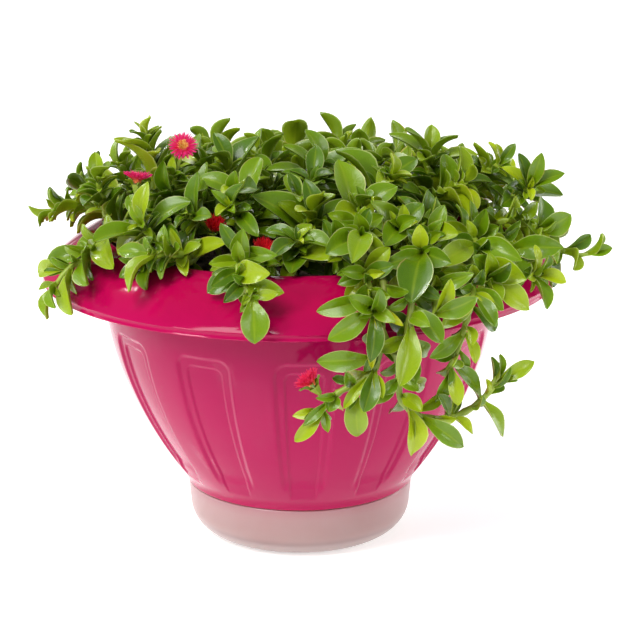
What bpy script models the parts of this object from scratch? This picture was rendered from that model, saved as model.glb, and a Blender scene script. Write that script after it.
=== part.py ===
"""Potted ice plant: a pink plastic bowl on its saucer, filled with soil and leafy trailing stems.

Lengths are millimetres until a mesh is made. The origin is the centre of the saucer's flat underside,
+Z is up and the side that is seen from the front faces -Y.
"""
import math
import random

import bmesh
import bpy
from mathutils import Quaternion, Vector
from mathutils.bvhtree import BVHTree

MM = 0.001
WELD = 4e-7
TOUCH_GAP = 0.3

# Pot
BRIM_RADIUS = 130.0
BRIM_EDGE_Z = 135.6
BRIM_TOP_Z = 159.0
BRIM_TOP_RADIUS = 101.0
BRIM_ROUNDNESS = 1.5
LIP_HEIGHT = 3.8
LIP_SETBACK = 1.4
BODY_RADIUS = 99.5
BODY_HEIGHTS = (34, 46, 60, 78, 98, 115, 131)
SHOULDER_Z = 131.8
SHOULDER_POWER = 0.86
WALL = 2.2
POT_FOOT_Z = 27.8
POT_FOOT_RADIUS = 56.0
POT_FOOT_EDGE = 58.8
POT_FOOT_CHAMFER = 1.2
POT_SIDES = 36
INSIDE_RADIUS = 97.0
INSIDE_HEIGHTS = (131, 84, 45)
DRAIN_HOLES = 6
DRAIN_RADIUS = 4.0
DRAIN_CIRCLE = 30.0
DRAIN_SIDES = 8

# Arches sunk into the bowl
ARCH_COUNT = 12
ARCH_TURN = math.radians(1.9)
ARCH_TOP_Z = 115.0
ARCH_FOOT_Z = 42.0
ARCH_HALF_ANGLE = math.radians(8.4)
ARCH_CORNER = 6.0
ARCH_DEPTH = 0.8
ARCH_FLANK = 0.8
ARCH_CLEAR = 2.0
ARCH_MIDDLE = -ARCH_TURN
PANEL_INSET = 4.7
PANEL_FOOT_Z = 36.0
PANEL_DEPTH = 1.4
PANEL_HEIGHTS = (41, 57, 82)
PANEL_MIDDLE = math.radians(-1.2)

# Saucer
SAUCER_TOP_RADIUS = 58.0
SAUCER_RADIUS = 57.0
SAUCER_CORNER = 16.0
SAUCER_WALL = 2.0
SAUCER_LEDGE = 8.0
SAUCER_FLOOR = 4.0
SAUCER_SIDES = 32

# Soil
SOIL_EDGE_Z = 149.0
SOIL_CROWN = 4.0
SOIL_SIDES = 20
ROOT_DEPTH = 7.0
ROOT_HOLE_SIDES = 4
ROOT_HOLE_RADIUS = 2.6
ROOT_REACH = 84.0
ROOT_SPACING = 7.0

# Plant
STEM_RADIUS = 1.7
STEM_TIP_RADIUS = 1.35
STEM_SIDES = 4
LEAF_THICKNESS = 2.4
LEAF_CHANNEL = 0.16
LEAF_BOW = 0.14
LEAF_ROOT_WIDTH = 0.16
LEAF_SUNK = 1.1
LEAF_LEAST_WIDTH = 0.47
LEAF_COLLAR = STEM_RADIUS + 1.0 + LEAF_SUNK
WIDEST_AT = 0.58
LEAF_CLEARANCE = 0.5
LIGHT_AWAY = 0.3
LIGHT_PULL = 0.3
HANG_PULL = 0.5
HANG_TOP_Z = 168.0
HANG_DROP = 20.0
GOLDEN_ANGLE = math.radians(137.508)
FILLER_STEMS = 18
FILLER_PLACES = 30
FILLER_STRIDE = 7
FILLER_SEED = 11
FILLER_FRONT = -75.0
MOUND_RADIUS = 121.0
MOUND_BASE_Z = 164.0
MOUND_RISE = 27.0

# Stations of a leaf's rings, for a leaf wider than the small width and for the others
LARGE_RINGS = (0.5, 0.8)
SMALL_RINGS = (0.58,)
SMALL_WIDTH = 11

# Ways to hold a leaf that would cross its neighbours: (turn about the stem, lift, length)
TRIALS = ((0, 0, 1.0), (0, 14, 1.0), (14, 6, 1.0), (-14, 6, 1.0), (0, -14, 0.95), (22, 20, 0.9),
          (-22, 20, 0.9), (0, 30, 0.9), (10, 0, 0.8), (-10, 0, 0.8), (0, 22, 0.75), (0, 0, 0.65))

# Leaf pairs of a filler shoot: (station, angle from the stem in degrees, length)
SHOOT_PAIRS = ((0.55, 80, 27), (0.74, 70, 27), (0.9, 56, 22), (1.0, 26, 16))

# Bloom. Leans are degrees from the axis, and shares are of the petal's reach or the cup's radius
BLOOM_RADIUS = 7.5
BLOOM_PETALS = 16
BLOOM_CUP = 2.4
BLOOM_CORE = 2.2
CUP_RIM_TOP = 0.3
CUP_RIM_LOW = 0.8
PETAL_HALF_WIDTH = 1.1
PETAL_ROOM = 0.44
PETAL_LEAST_LEAN = 20
PETAL_STEEPER = 20
PETAL_SHORTER = 0.14
PETAL_ROOT_SHARE = 0.6
PETAL_WAIST_SHARE = 0.55
PETAL_UPPER_RISE = 0.25
PETAL_UNDER_RISE = 0.55
EYE_RADIUS = 1.8
EYE_SEAT = 1.1
EYE_HEIGHT = 1.9
STALK_RADIUS = 1.1
STALK_BEND = 7.0
CALYX_LENGTH = 4.6
CALYX_RADIUS = 3.0

# Stems that show their own place: points of the stem, then leaves as
# (station along the stem, tip of the leaf, width of the leaf)
SHOWN_STEMS = {
    "stem_left_upright": (
        [(-73, -30, 172), (-71, -30, 190), (-73, -30, 201), (-74, -30, 209)],
        [(0.62, (-90, -34, 211), 9), (0.62, (-62, -24, 215), 9), (0.8, (-83, -38, 216), 6),
         (0.8, (-67, -30, 215), 6), (1, (-80, -30, 219), 6), (1, (-72, -32, 222), 7)]),
    "stem_left_flower": (
        [(-61, -30, 167), (-60, -34, 183), (-61, -38, 193)],
        [(0.8, (-62, -44, 211), 8), (0.8, (-50, -34, 197), 8), (0.5, (-70, -50, 194), 8),
         (0.5, (-50, -52, 190), 9)]),
    "stem_left_small": (
        [(-83, 10, 170), (-87, 10, 180), (-89, 9, 188)],
        [(0.75, (-97, 5, 195), 6), (0.75, (-81, 13, 196), 8), (1, (-92, 9, 203), 5),
         (1, (-85, 0, 198), 5)]),
    "stem_left_upper": (
        [(-93, -25, 168), (-97, -28, 179), (-98, -30, 189)],
        [(0.55, (-111, -30, 190), 8), (0.55, (-86, -38, 188), 10), (0.8, (-104, -48, 181), 10),
         (1, (-100, -26, 203), 9), (1, (-92, -38, 198), 12)]),
    "stem_left_far": (
        [(-95, -5, 167), (-106, -8, 172), (-117, -10, 172), (-124, -10, 170)],
        [(0.45, (-121, -4, 184), 11), (0.45, (-111, -18, 160), 8), (0.7, (-123, -26, 168), 11),
         (0.85, (-125, -10, 181), 9), (1, (-136, -10, 172), 8), (1, (-130, -16, 163), 6)]),
    "stem_left_arch": (
        [(-68, -52, 160), (-71, -62, 168), (-74, -70, 176)],
        [(0.8, (-96, -84, 172), 15), (0.8, (-51, -66, 187), 16), (1, (-71, -68, 197), 10),
         (0.5, (-84, -84, 165), 9), (0.5, (-61, -86, 177), 12), (1, (-81, -58, 188), 9)]),
    "stem_left_brim": (
        [(-53, -70, 158), (-52, -82, 164), (-59, -90, 167), (-66, -94, 168)],
        [(0.4, (-33, -86, 172), 10), (0.4, (-48, -88, 180), 9), (0.75, (-62, -98, 178), 9),
         (1, (-78, -106, 153), 10), (1, (-84, -88, 168), 8)]),
    "stem_left_trailing": (
        [(-83, -42, 164), (-92, -52, 165), (-103, -60, 158), (-111, -66, 153), (-116, -69, 147)],
        [(0.45, (-87, -82, 158), 9), (0.45, (-93, -44, 176), 9), (0.65, (-122, -54, 150), 9),
         (0.65, (-99, -86, 151), 7), (0.85, (-107, -84, 136), 9), (0.85, (-126, -56, 150), 8),
         (1, (-120, -74, 131), 8), (1, (-115, -83, 139), 6)]),
    "stem_top_left": (
        [(-30, -20, 170), (-33, -22, 181), (-34, -24, 193)],
        [(0.5, (-46, -38, 176), 14), (0.5, (-14, -30, 191), 13), (0.8, (-50, -34, 192), 10),
         (0.8, (-20, -10, 208), 8), (1, (-42, -18, 211), 12), (1, (-44, -40, 205), 8)]),
    "stem_top_centre": (
        [(9, -5, 169), (9, -8, 180), (9, -10, 190)],
        [(0.5, (-16, -22, 193), 9), (0.5, (31, -4, 200), 14), (0.8, (-8, -14, 204), 9),
         (0.8, (20, -32, 190), 10), (1, (3, -10, 211), 13), (1, (15, -14, 211), 10)]),
    "stem_centre_bright": (
        [(7, -50, 159), (8, -56, 168), (8, -60, 176)],
        [(0.4, (-22, -62, 189), 12), (0.6, (-15, -50, 187), 9), (0.6, (26, -50, 184), 9),
         (0.85, (5, -62, 197), 8), (0.85, (20, -66, 191), 8), (1, (-1, -78, 185), 7),
         (1, (14, -78, 189), 7)]),
    "stem_centre_hollow": (
        [(-1, -72, 156), (0, -82, 165), (0, -88, 172)],
        [(0.6, (-8, -104, 160), 9), (0.6, (14, -104, 163), 10), (1, (-12, -102, 168), 9),
         (1, (16, -96, 172), 10), (1, (6, -84, 180), 9), (1, (-15, -84, 177), 9)]),
    "stem_front_hanging": (
        [(-22, -80, 163), (-25, -98, 167), (-27, -110, 165), (-25, -121, 161), (-20, -127, 156)],
        [(0.5, (-25, -106, 183), 11), (0.5, (-9, -112, 172), 9), (0.7, (-39, -122, 160), 8),
         (0.7, (-12, -130, 168), 6), (0.85, (-33, -132, 155), 5), (0.85, (-6, -126, 158), 9),
         (1, (-19, -136, 137), 15)]),
    "stem_front_yellow": (
        [(27, -62, 163), (28, -80, 174), (29, -100, 178)],
        [(0.6, (14, -88, 186), 11), (0.6, (40, -84, 184), 11), (1, (13, -114, 173), 13),
         (1, (22, -122, 166), 13), (1, (41, -114, 168), 10), (0.85, (27, -104, 190), 10)]),
    "stem_centre_right": (
        [(43, -54, 160), (45, -68, 170), (48, -82, 177)],
        [(0.5, (34, -78, 190), 15), (0.5, (61, -94, 170), 12), (0.85, (59, -76, 188), 11),
         (0.85, (40, -102, 174), 11), (1, (49, -86, 190), 8), (1, (55, -96, 186), 8)]),
    "stem_top_right": (
        [(66, 10, 174), (66, 6, 186), (66, 4, 195)],
        [(0.45, (51, -10, 187), 10), (0.45, (84, 0, 189), 10), (0.75, (45, 6, 206), 8),
         (0.75, (90, 2, 196), 10), (1, (53, 0, 210), 7), (1, (67, 10, 210), 9),
         (0.9, (76, 0, 210), 10), (0.9, (60, -18, 197), 10)]),
    "stem_right_back": (
        [(80, 18, 172), (92, 6, 184), (100, -4, 192)],
        [(0.7, (85, -6, 195), 10), (0.7, (111, -12, 187), 9), (1, (108, -4, 203), 6),
         (1, (95, 0, 203), 6)]),
    "stem_right_upper": (
        [(100, 2, 171), (110, -12, 178), (113, -24, 184)],
        [(0.7, (131, -20, 180), 9), (0.7, (99, -32, 177), 9), (1, (131, -24, 192), 10),
         (1, (100, -24, 195), 7), (1, (108, -24, 202), 9), (1, (119, -28, 203), 6)]),
    "stem_right_round": (
        [(98, -33, 169), (108, -43, 172), (116, -52, 170)],
        [(0.7, (102, -60, 178), 11), (0.7, (128, -66, 164), 11), (1, (131, -54, 178), 14),
         (1, (118, -42, 184), 12), (1, (113, -72, 166), 10)]),
    "stem_right_end": (
        [(98, -14, 168), (113, -25, 164), (126, -38, 158), (135, -46, 156), (141, -48, 157)],
        [(0.6, (131, -44, 170), 11), (0.6, (132, -56, 145), 10), (0.85, (143, -38, 164), 8),
         (0.85, (138, -60, 152), 7), (1, (147, -51, 168), 8), (1, (152, -46, 161), 7),
         (0.4, (120, -50, 152), 10)]),
    "stem_right_low": (
        [(92, -46, 168), (101, -70, 164), (111, -84, 155)],
        [(0.75, (100, -94, 151), 9), (0.75, (125, -80, 168), 9), (1, (111, -84, 170), 7),
         (1, (117, -92, 167), 6), (1, (126, -88, 153), 9), (1, (117, -92, 141), 5)]),
    "stem_front_right": (
        [(82, -48, 168), (84, -82, 169), (87, -103, 158)],
        [(0.7, (69, -108, 166), 13), (0.7, (104, -98, 166), 9), (0.85, (80, -114, 172), 7),
         (0.85, (105, -110, 160), 8), (1, (86, -104, 179), 7), (1, (98, -106, 176), 8),
         (1, (92, -117, 150), 9), (1, (107, -108, 145), 6)]),
    "stem_front_folded": (
        [(58, -80, 163), (62, -104, 160), (63, -120, 153), (62, -129, 148)],
        [(1, (69, -132, 166), 9), (1, (81, -131, 161), 7), (0.75, (80, -122, 166), 8)]),
    "stem_big_down": (
        [(64, -66, 165), (61, -86, 174), (57, -104, 171)],
        [(0.5, (68, -100, 180), 11), (0.5, (44, -104, 180), 9), (1, (53, -129, 148), 18),
         (1, (70, -118, 170), 10), (1, (43, -122, 168), 9), (1, (56, -110, 186), 8)]),
    "stem_front_rosette": (
        [(25, -84, 163), (30, -110, 166), (33, -126, 158), (34, -132, 151)],
        [(0.7, (44, -122, 170), 9), (0.7, (20, -126, 168), 8), (0.9, (9, -136, 152), 12),
         (0.9, (42, -139, 160), 8), (1, (23, -143, 161), 7), (1, (37, -146, 165), 7),
         (1, (33, -142, 130), 11), (1, (14, -147, 142), 5), (1, (44, -143, 149), 5)]),
    "stem_trailing_left": (
        [(31, -78, 163), (36, -108, 168), (40, -126, 158), (38, -134, 146), (37, -134, 134),
         (36, -134, 125), (29, -134, 119), (21, -135, 115), (15, -135, 110), (11, -135, 104)],
        [(0.73, (9, -134, 128), 11), (0.77, (28, -139, 105), 8), (0.86, (28, -135, 93), 6),
         (0.86, (22, -144, 126), 5), (0.92, (14, -143, 107), 8), (0.92, (6, -139, 110), 8),
         (1, (-2, -137, 103), 5), (1, (-1, -140, 92), 8), (1, (14, -139, 96), 5)]),
    "stem_trailing_right": (
        [(50, -82, 165), (52, -104, 168), (52, -124, 160), (51, -131, 146), (48, -131, 131),
         (46, -131, 118), (48, -131, 108), (56, -131, 101), (68, -128, 99), (79, -124, 102),
         (87, -121, 108), (92, -119, 116)],
        [(0.5, (45, -143, 116), 14), (0.46, (61, -139, 134), 9), (0.64, (37, -140, 114), 8),
         (0.64, (55, -140, 116), 8), (0.72, (52, -137, 84), 10), (0.76, (76, -133, 87), 9),
         (0.83, (64, -136, 113), 9), (0.84, (73, -123, 114), 7), (0.93, (95, -122, 88), 9),
         (0.93, (72, -129, 124), 9), (1, (109, -117, 123), 5), (1, (93, -119, 127), 5),
         (1, (101, -124, 116), 5)]),
    "stem_trailing_mid": (
        [(78, -64, 163), (81, -90, 161), (80, -116, 155), (77, -124, 145), (74, -126, 134),
         (69, -127, 122)],
        [(0.7, (60, -136, 143), 9), (0.7, (90, -129, 143), 7), (0.85, (60, -135, 130), 9),
         (0.85, (81, -130, 126), 8), (1, (76, -131, 107), 8), (1, (63, -132, 108), 7),
         (0.95, (70, -142, 128), 7)]),
}

# Blooms: the stem that carries it, the station on it, centre, facing direction, spread of the petals
# in degrees from the axis (small when half closed) and whether the yellow eye shows
BLOOMS = {
    "bloom_open": ("stem_left_flower", 1.0, (-56, -40, 208.5), (0.1, -0.8, 0.55), 78, True),
    "bloom_back": ("stem_left_upper", 0.5, (-78, -43, 193), (0.1, 0.1, 0.98), 60, False),
    "bloom_left_bud": ("stem_left_brim", 0.3, (-40, -67, 174.5), (0.2, -0.6, 0.7), 30, False),
    "bloom_centre": ("stem_front_hanging", 0.3, (-16, -89, 168), (0.1, -0.5, 0.8), 28, False),
    "bloom_low": ("stem_trailing_left", 0.9, (6, -137, 119), (-0.6, -0.1, 0.75), 46, False),
}


def clear_scene():
    for item in list(bpy.data.objects):
        bpy.data.objects.remove(item, do_unlink=True)


def material(name, color, roughness):
    made = bpy.data.materials.new(name)
    made.use_nodes = True
    shader = made.node_tree.nodes["Principled BSDF"]
    shader.inputs["Base Color"].default_value = (*color, 1.0)
    shader.inputs["Roughness"].default_value = roughness
    made.diffuse_color = (*color, 1.0)
    return made


def add_object(name, points, faces, look=None, smooth_angle=None):
    """A mesh object from points in millimetres."""
    mesh = bpy.data.meshes.new(name)
    mesh.from_pydata([tuple(c * MM for c in point) for point in points], [], faces)
    mesh.update()
    if smooth_angle is not None:
        mesh.shade_smooth()
        mesh.set_sharp_from_angle(angle=math.radians(smooth_angle))
    made = bpy.data.objects.new(name, mesh)
    if look:
        mesh.materials.append(look)
    bpy.context.scene.collection.objects.link(made)
    return made


def boolean(target, operand, operation, solver="EXACT"):
    """Join the objects of a collection to the target, or cut them from it, and remove them."""
    step = target.modifiers.new(operation.lower(), "BOOLEAN")
    step.operation = operation
    step.operand_type = "COLLECTION"
    step.collection = operand
    step.solver = solver
    evaluated = target.evaluated_get(bpy.context.evaluated_depsgraph_get())
    mesh = bpy.data.meshes.new_from_object(evaluated)
    target.modifiers.clear()
    target.data = mesh
    for item in list(operand.objects):
        bpy.data.objects.remove(item, do_unlink=True)
    bpy.data.collections.remove(operand)


def gather(name, objects):
    group = bpy.data.collections.new(name)
    for item in objects:
        group.objects.link(item)
    bpy.context.scene.collection.children.link(group)
    return group


def keep_main_body(target, smooth_angle):
    """Weld coincident points, drop loose scraps, triangulate, and say if the body is closed."""
    work = bmesh.new()
    work.from_mesh(target.data)
    bmesh.ops.remove_doubles(work, verts=work.verts, dist=WELD)
    bmesh.ops.dissolve_limit(work, angle_limit=math.radians(0.3), verts=work.verts, edges=work.edges)
    bmesh.ops.triangulate(work, faces=work.faces)
    unseen = set(work.verts)
    bodies = []
    while unseen:
        start = unseen.pop()
        body = [start]
        for vert in body:
            for edge in vert.link_edges:
                other = edge.other_vert(vert)
                if other in unseen:
                    unseen.discard(other)
                    body.append(other)
        bodies.append(body)
    bodies.sort(key=len)
    for body in bodies[:-1]:
        bmesh.ops.delete(work, geom=body, context="VERTS")
    closed = all(len(edge.link_faces) == 2 for edge in work.edges)
    work.to_mesh(target.data)
    work.free()
    target.data.shade_smooth()
    target.data.set_sharp_from_angle(angle=math.radians(smooth_angle))
    return closed


def fuse(name, first, others, look):
    """One body from several closed shapes. The second solver is used where the first leaves a fault."""
    for solver in ("EXACT", "MANIFOLD"):
        body = solid(name, first, look)
        pieces = [solid("piece", shape) for shape in others]
        boolean(body, gather("pieces", pieces), "UNION", solver)
        if keep_main_body(body, 35):
            break
        if solver == "EXACT":
            bpy.data.objects.remove(body, do_unlink=True)
    return body


def solid(name, shape, look=None):
    """Object of a closed shape with its faces pointing out."""
    made = add_object(name, *shape, look)
    fix_normals(made)
    return made


def smoothstep(value):
    value = min(max(value, 0.0), 1.0)
    return value * value * (3 - 2 * value)


# Turned shapes
def turned(profile, sides):
    """Points and faces of a closed profile of (radius, z) turned about Z. Radius 0 closes at the axis."""
    points, rings = [], []
    for radius, z in profile:
        count = sides if radius > 0 else 1
        rings.append([len(points) + k for k in range(count)])
        for k in range(count):
            angle = 2 * math.pi * k / sides
            points.append((radius * math.cos(angle), radius * math.sin(angle), z))
    faces = []
    for first, second in zip(rings, rings[1:]):
        for k in range(sides):
            a, b = first[k % len(first)], first[(k + 1) % len(first)]
            c, d = second[(k + 1) % len(second)], second[k % len(second)]
            face = [a]
            for index in (b, c, d):
                if index not in face:
                    face.append(index)
            faces.append(face)
    return points, faces


def bowl_radius(z):
    """Outer radius of the bowl from its foot up: a round belly that ends in an upright shoulder."""
    t = (z - POT_FOOT_Z) / (SHOULDER_Z - POT_FOOT_Z)
    swell = math.sin(math.pi / 2 * min(t, 1.0)) ** SHOULDER_POWER
    return POT_FOOT_RADIUS + (BODY_RADIUS - POT_FOOT_RADIUS) * swell


def bowl_inside(z):
    """Inner radius of the bowl; it is upright above the shoulder."""
    return min(bowl_radius(z) - WALL, INSIDE_RADIUS)


def brim_height(radius):
    """Top of the convex brim at a radius between its inner edge and its lip."""
    t = (radius - BRIM_TOP_RADIUS) / (BRIM_RADIUS - BRIM_TOP_RADIUS)
    t = min(max(t, 0.0), 1.0)
    lip = BRIM_EDGE_Z + LIP_HEIGHT
    return lip + (BRIM_TOP_Z - lip) * (1 - t ** BRIM_ROUNDNESS)


def brim_underside(radius):
    """Hollow side of the brim, one wall below its top."""
    slope = brim_height(radius + 0.5) - brim_height(radius - 0.5)
    return brim_height(radius) - WALL * math.hypot(1, slope)


def pot_profile():
    """Outer side upwards, round the turned-down brim, then the inner side down to the floor's centre."""
    outside = [(0, POT_FOOT_Z), (POT_FOOT_EDGE - POT_FOOT_CHAMFER, POT_FOOT_Z),
               (POT_FOOT_EDGE, POT_FOOT_Z + POT_FOOT_CHAMFER)]
    outside += [(bowl_radius(z), z) for z in BODY_HEIGHTS]
    width = BRIM_RADIUS - BRIM_TOP_RADIUS
    under = [(BODY_RADIUS, BRIM_TOP_Z - 2 * WALL)]
    for step in (0.08, 0.6):
        radius = BRIM_TOP_RADIUS + width * step
        under.append((radius, brim_underside(radius)))
    lip = [(BRIM_RADIUS - WALL, BRIM_EDGE_Z + LIP_HEIGHT * 0.7), (BRIM_RADIUS - WALL, BRIM_EDGE_Z),
           (BRIM_RADIUS, BRIM_EDGE_Z), (BRIM_RADIUS, BRIM_EDGE_Z + LIP_HEIGHT * 0.8),
           (BRIM_RADIUS - LIP_SETBACK, BRIM_EDGE_Z + LIP_HEIGHT)]
    over = []
    for step in (0.8, 0.56, 0.28, 0.0):
        radius = BRIM_TOP_RADIUS + width * step
        over.append((radius, brim_height(radius)))
    inside = [(INSIDE_RADIUS, BRIM_TOP_Z - 1.0)]
    inside += [(bowl_inside(z), z) for z in INSIDE_HEIGHTS]
    floor = POT_FOOT_Z + WALL
    return outside + under + lip + over + inside + [(POT_FOOT_RADIUS - 3, floor), (0, floor)]


def on_wall(angle, z, out):
    """Point on the flat facets of the bowl's wall, or out beyond them; the angle counts from the front."""
    for low, high in zip(BODY_HEIGHTS, BODY_HEIGHTS[1:]):
        if z <= high:
            break
    share = (z - low) / (high - low)
    corner_radius = bowl_radius(low) * (1 - share) + bowl_radius(high) * share
    step = 2 * math.pi / POT_SIDES
    radius = corner_radius * math.cos(step / 2) / math.cos(angle % step - step / 2) + out
    return Vector((radius * math.sin(angle), -radius * math.cos(angle), z))


def arch_rows(inset, foot, heights, depth):
    """Rows of one arch from its open foot up: (z, half width, depth, share of the flank beside, above)."""
    half = ARCH_HALF_ANGLE * BODY_RADIUS - inset
    top = ARCH_TOP_Z - inset
    corner = ARCH_CORNER - 0.45 * inset
    rows = [(foot, half, -0.3, 1, 0)]
    rows += [(z, half, depth, 1, 0) for z in heights]
    rows += [(top - corner, half, depth, 1, 0),
             (top - corner * 0.3, half - corner * 0.3, depth, 0.7, 0.7),
             (top, half - corner, depth, 0.3, 1)]
    return rows


def sunk_arch(turn, middle, inset, foot, heights, depth):
    """Block that leaves one arch in the wall: its back follows the facets, its sides slope outwards."""
    flare = ARCH_FLANK * (ARCH_DEPTH + ARCH_CLEAR) / ARCH_DEPTH
    points, faces = [], []
    rows = arch_rows(inset, foot, heights, depth)
    for z, half, depth, beside, above in rows:
        wide = half + flare * beside
        for side, height, out in ((half, z, -depth), (wide, z + flare * above, ARCH_CLEAR)):
            for angle in (-side / BODY_RADIUS, middle, side / BODY_RADIUS):
                points.append(on_wall(turn + angle, height, out))
    for k in range(len(rows) - 1):
        for a, b in ((0, 1), (1, 2), (2, 5), (5, 4), (4, 3), (3, 0)):
            faces.append((6 * k + a, 6 * k + b, 6 * k + 6 + b, 6 * k + 6 + a))
    last = 6 * (len(rows) - 1)
    faces += [(3, 4, 1, 0), (4, 5, 2, 1), (last, last + 1, last + 4, last + 3),
              (last + 1, last + 2, last + 5, last + 4)]
    return points, faces


def make_pot(look):
    pot = solid("pot", turned(pot_profile(), POT_SIDES), look)
    steps = ((ARCH_MIDDLE, 0, ARCH_FOOT_Z, BODY_HEIGHTS[1:5], ARCH_DEPTH),
             (PANEL_MIDDLE, PANEL_INSET, PANEL_FOOT_Z, PANEL_HEIGHTS, PANEL_DEPTH))
    for step in steps:
        arches = []
        for k in range(ARCH_COUNT):
            turn = ARCH_TURN + 2 * math.pi * k / ARCH_COUNT
            arches.append(solid("arch", sunk_arch(turn, *step)))
        boolean(pot, gather("arches", arches), "DIFFERENCE")
    drains = []
    for k in range(DRAIN_HOLES):
        angle = 2 * math.pi * k / DRAIN_HOLES
        drill = prism("drain", (DRAIN_CIRCLE * math.cos(angle), DRAIN_CIRCLE * math.sin(angle)),
                      DRAIN_RADIUS, POT_FOOT_Z - 2, POT_FOOT_Z + WALL + 2, DRAIN_SIDES)
        drains.append(drill)
    boolean(pot, gather("drains", drains), "DIFFERENCE")
    keep_main_body(pot, 40)
    return pot


def prism(name, centre, radius, low, high, sides):
    """An upright prism, used as a drill."""
    points, faces = turned([(0, low), (radius, low), (radius, high), (0, high)], sides)
    points = [(x + centre[0], y + centre[1], z) for x, y, z in points]
    return solid(name, (points, faces))


def fix_normals(target):
    work = bmesh.new()
    work.from_mesh(target.data)
    bmesh.ops.recalc_face_normals(work, faces=work.faces)
    work.to_mesh(target.data)
    work.free()


def make_saucer(look):
    """A cup with a big round lower corner; the bowl stands on its ledge, flush with its top edge."""
    top = POT_FOOT_Z - TOUCH_GAP
    profile = [(0, 0), (SAUCER_RADIUS - SAUCER_CORNER, 0)]
    for k in range(1, 5):
        turn = math.pi / 8 * k
        profile.append((SAUCER_RADIUS - SAUCER_CORNER * (1 - math.sin(turn)),
                        SAUCER_CORNER * (1 - math.cos(turn))))
    inner = SAUCER_TOP_RADIUS - SAUCER_WALL - SAUCER_LEDGE
    profile += [(SAUCER_TOP_RADIUS, top - 1), (SAUCER_TOP_RADIUS, top), (inner, top),
                (inner, SAUCER_FLOOR), (0, SAUCER_FLOOR)]
    saucer = solid("saucer", turned(profile, SAUCER_SIDES), look)
    keep_main_body(saucer, 40)
    return saucer


def soil_height(x, y):
    distance = math.hypot(x, y) / bowl_inside(SOIL_EDGE_Z)
    return SOIL_EDGE_Z + SOIL_CROWN * (1 - distance * distance)


def soil_profile():
    """From the pot's floor up along its wall, then over the low crown."""
    low = POT_FOOT_Z + WALL + TOUCH_GAP
    profile = [(0, low), (POT_FOOT_RADIUS - 4, low)]
    profile += [(bowl_inside(z) - 2 * TOUCH_GAP, z) for z in (*INSIDE_HEIGHTS[::-1], SOIL_EDGE_Z)]
    return profile + [(r, soil_height(r, 0)) for r in (60, 30, 0)]


def make_soil(look, roots):
    soil = solid("soil", turned(soil_profile(), SOIL_SIDES), look)
    holes = []
    for x, y in roots:
        surface = soil_height(x, y)
        holes.append(prism("hole", (x, y), ROOT_HOLE_RADIUS, surface - ROOT_DEPTH - 0.5, surface + 5,
                           ROOT_HOLE_SIDES))
    boolean(soil, gather("holes", holes), "DIFFERENCE")
    keep_main_body(soil, 30)
    return soil


# Plant
def curve_through(points, steps):
    """Points evenly spaced in parameter on a smooth curve through the given points."""
    knots = [points[0] * 2 - points[1]] + points + [points[-1] * 2 - points[-2]]
    result = []
    spans = len(points) - 1
    for k in range(steps + 1):
        place = min(k / steps * spans, spans - 1e-9)
        span = int(place)
        t = place - span
        a, b, c, d = knots[span:span + 4]
        result.append(0.5 * (2 * b + (c - a) * t + (2 * a - 5 * b + 4 * c - d) * t * t
                             + (3 * b - a - 3 * c + d) * t ** 3))
    return result


def along(path, station):
    """Point and direction at a station from 0 to 1 of a path's length."""
    lengths = [(b - a).length for a, b in zip(path, path[1:])]
    rest = station * sum(lengths)
    for a, b, length in zip(path, path[1:], lengths):
        if rest <= length or b is path[-1]:
            return a.lerp(b, min(rest / length, 1.0)), (b - a).normalized()
        rest -= length
    return path[-1], (path[-1] - path[-2]).normalized()


def clear_of_pot(point, margin):
    """Lift a point off the brim, or move it outside the lip."""
    radius = math.hypot(point.x, point.y)
    if radius <= BRIM_RADIUS - 6:
        if radius > ROOT_REACH + 6:
            point.z = max(point.z, brim_height(radius) + margin)
        return point
    if point.z < brim_height(radius) + margin + 4 and radius < BRIM_RADIUS + margin:
        scale = (BRIM_RADIUS + margin) / radius
        point.x *= scale
        point.y *= scale
    return point


def stem_path(root, points, steps):
    """From the bottom of the root's hole straight up, then smoothly through the given points."""
    surface = soil_height(*root)
    foot = [Vector((root[0], root[1], surface - ROOT_DEPTH)), Vector((root[0], root[1], surface + 2))]
    free = [clear_of_pot(Vector(point), STEM_RADIUS + 1.2) for point in points]
    if math.hypot(free[0].x, free[0].y) > ROOT_REACH + 6:
        free.insert(0, Vector((root[0] * 1.02, root[1] * 1.02, BRIM_TOP_Z + STEM_RADIUS + 1)))
    path = curve_through([foot[1]] + free, steps)
    for point in path[2:]:
        clear_of_pot(point, STEM_RADIUS + 0.9)
    return [foot[0]] + path


def tube(path, radius, tip_radius, sides):
    """Closed tube along a path, tapering evenly to its tip."""
    points, faces = [], []
    across = None
    for k, centre in enumerate(path):
        ahead = (path[min(k + 1, len(path) - 1)] - path[max(k - 1, 0)]).normalized()
        if across is None:
            across = ahead.orthogonal().normalized()
        across = (across - ahead * across.dot(ahead)).normalized()
        beside = ahead.cross(across)
        size = radius + (tip_radius - radius) * k / (len(path) - 1)
        for j in range(sides):
            angle = 2 * math.pi * j / sides
            points.append(centre + (across * math.cos(angle) + beside * math.sin(angle)) * size)
    for k in range(len(path) - 1):
        for j in range(sides):
            a, b = sides * k + j, sides * k + (j + 1) % sides
            faces.append((a, b, b + sides, a + sides))
    last = sides * (len(path) - 1)
    faces.append(tuple(range(sides))[::-1])
    faces.append(tuple(range(last, last + sides)))
    return points, faces


def leaf_half_width(t, width):
    """Outline of a spoon-shaped leaf with a blunt point, as half its width at t along it."""
    if t < WIDEST_AT:
        share = LEAF_ROOT_WIDTH + (1 - LEAF_ROOT_WIDTH) * smoothstep(t / WIDEST_AT)
    else:
        share = (1 - ((t - WIDEST_AT) / (1 - WIDEST_AT)) ** 1.8) ** 0.8
    return width / 2 * share


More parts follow.
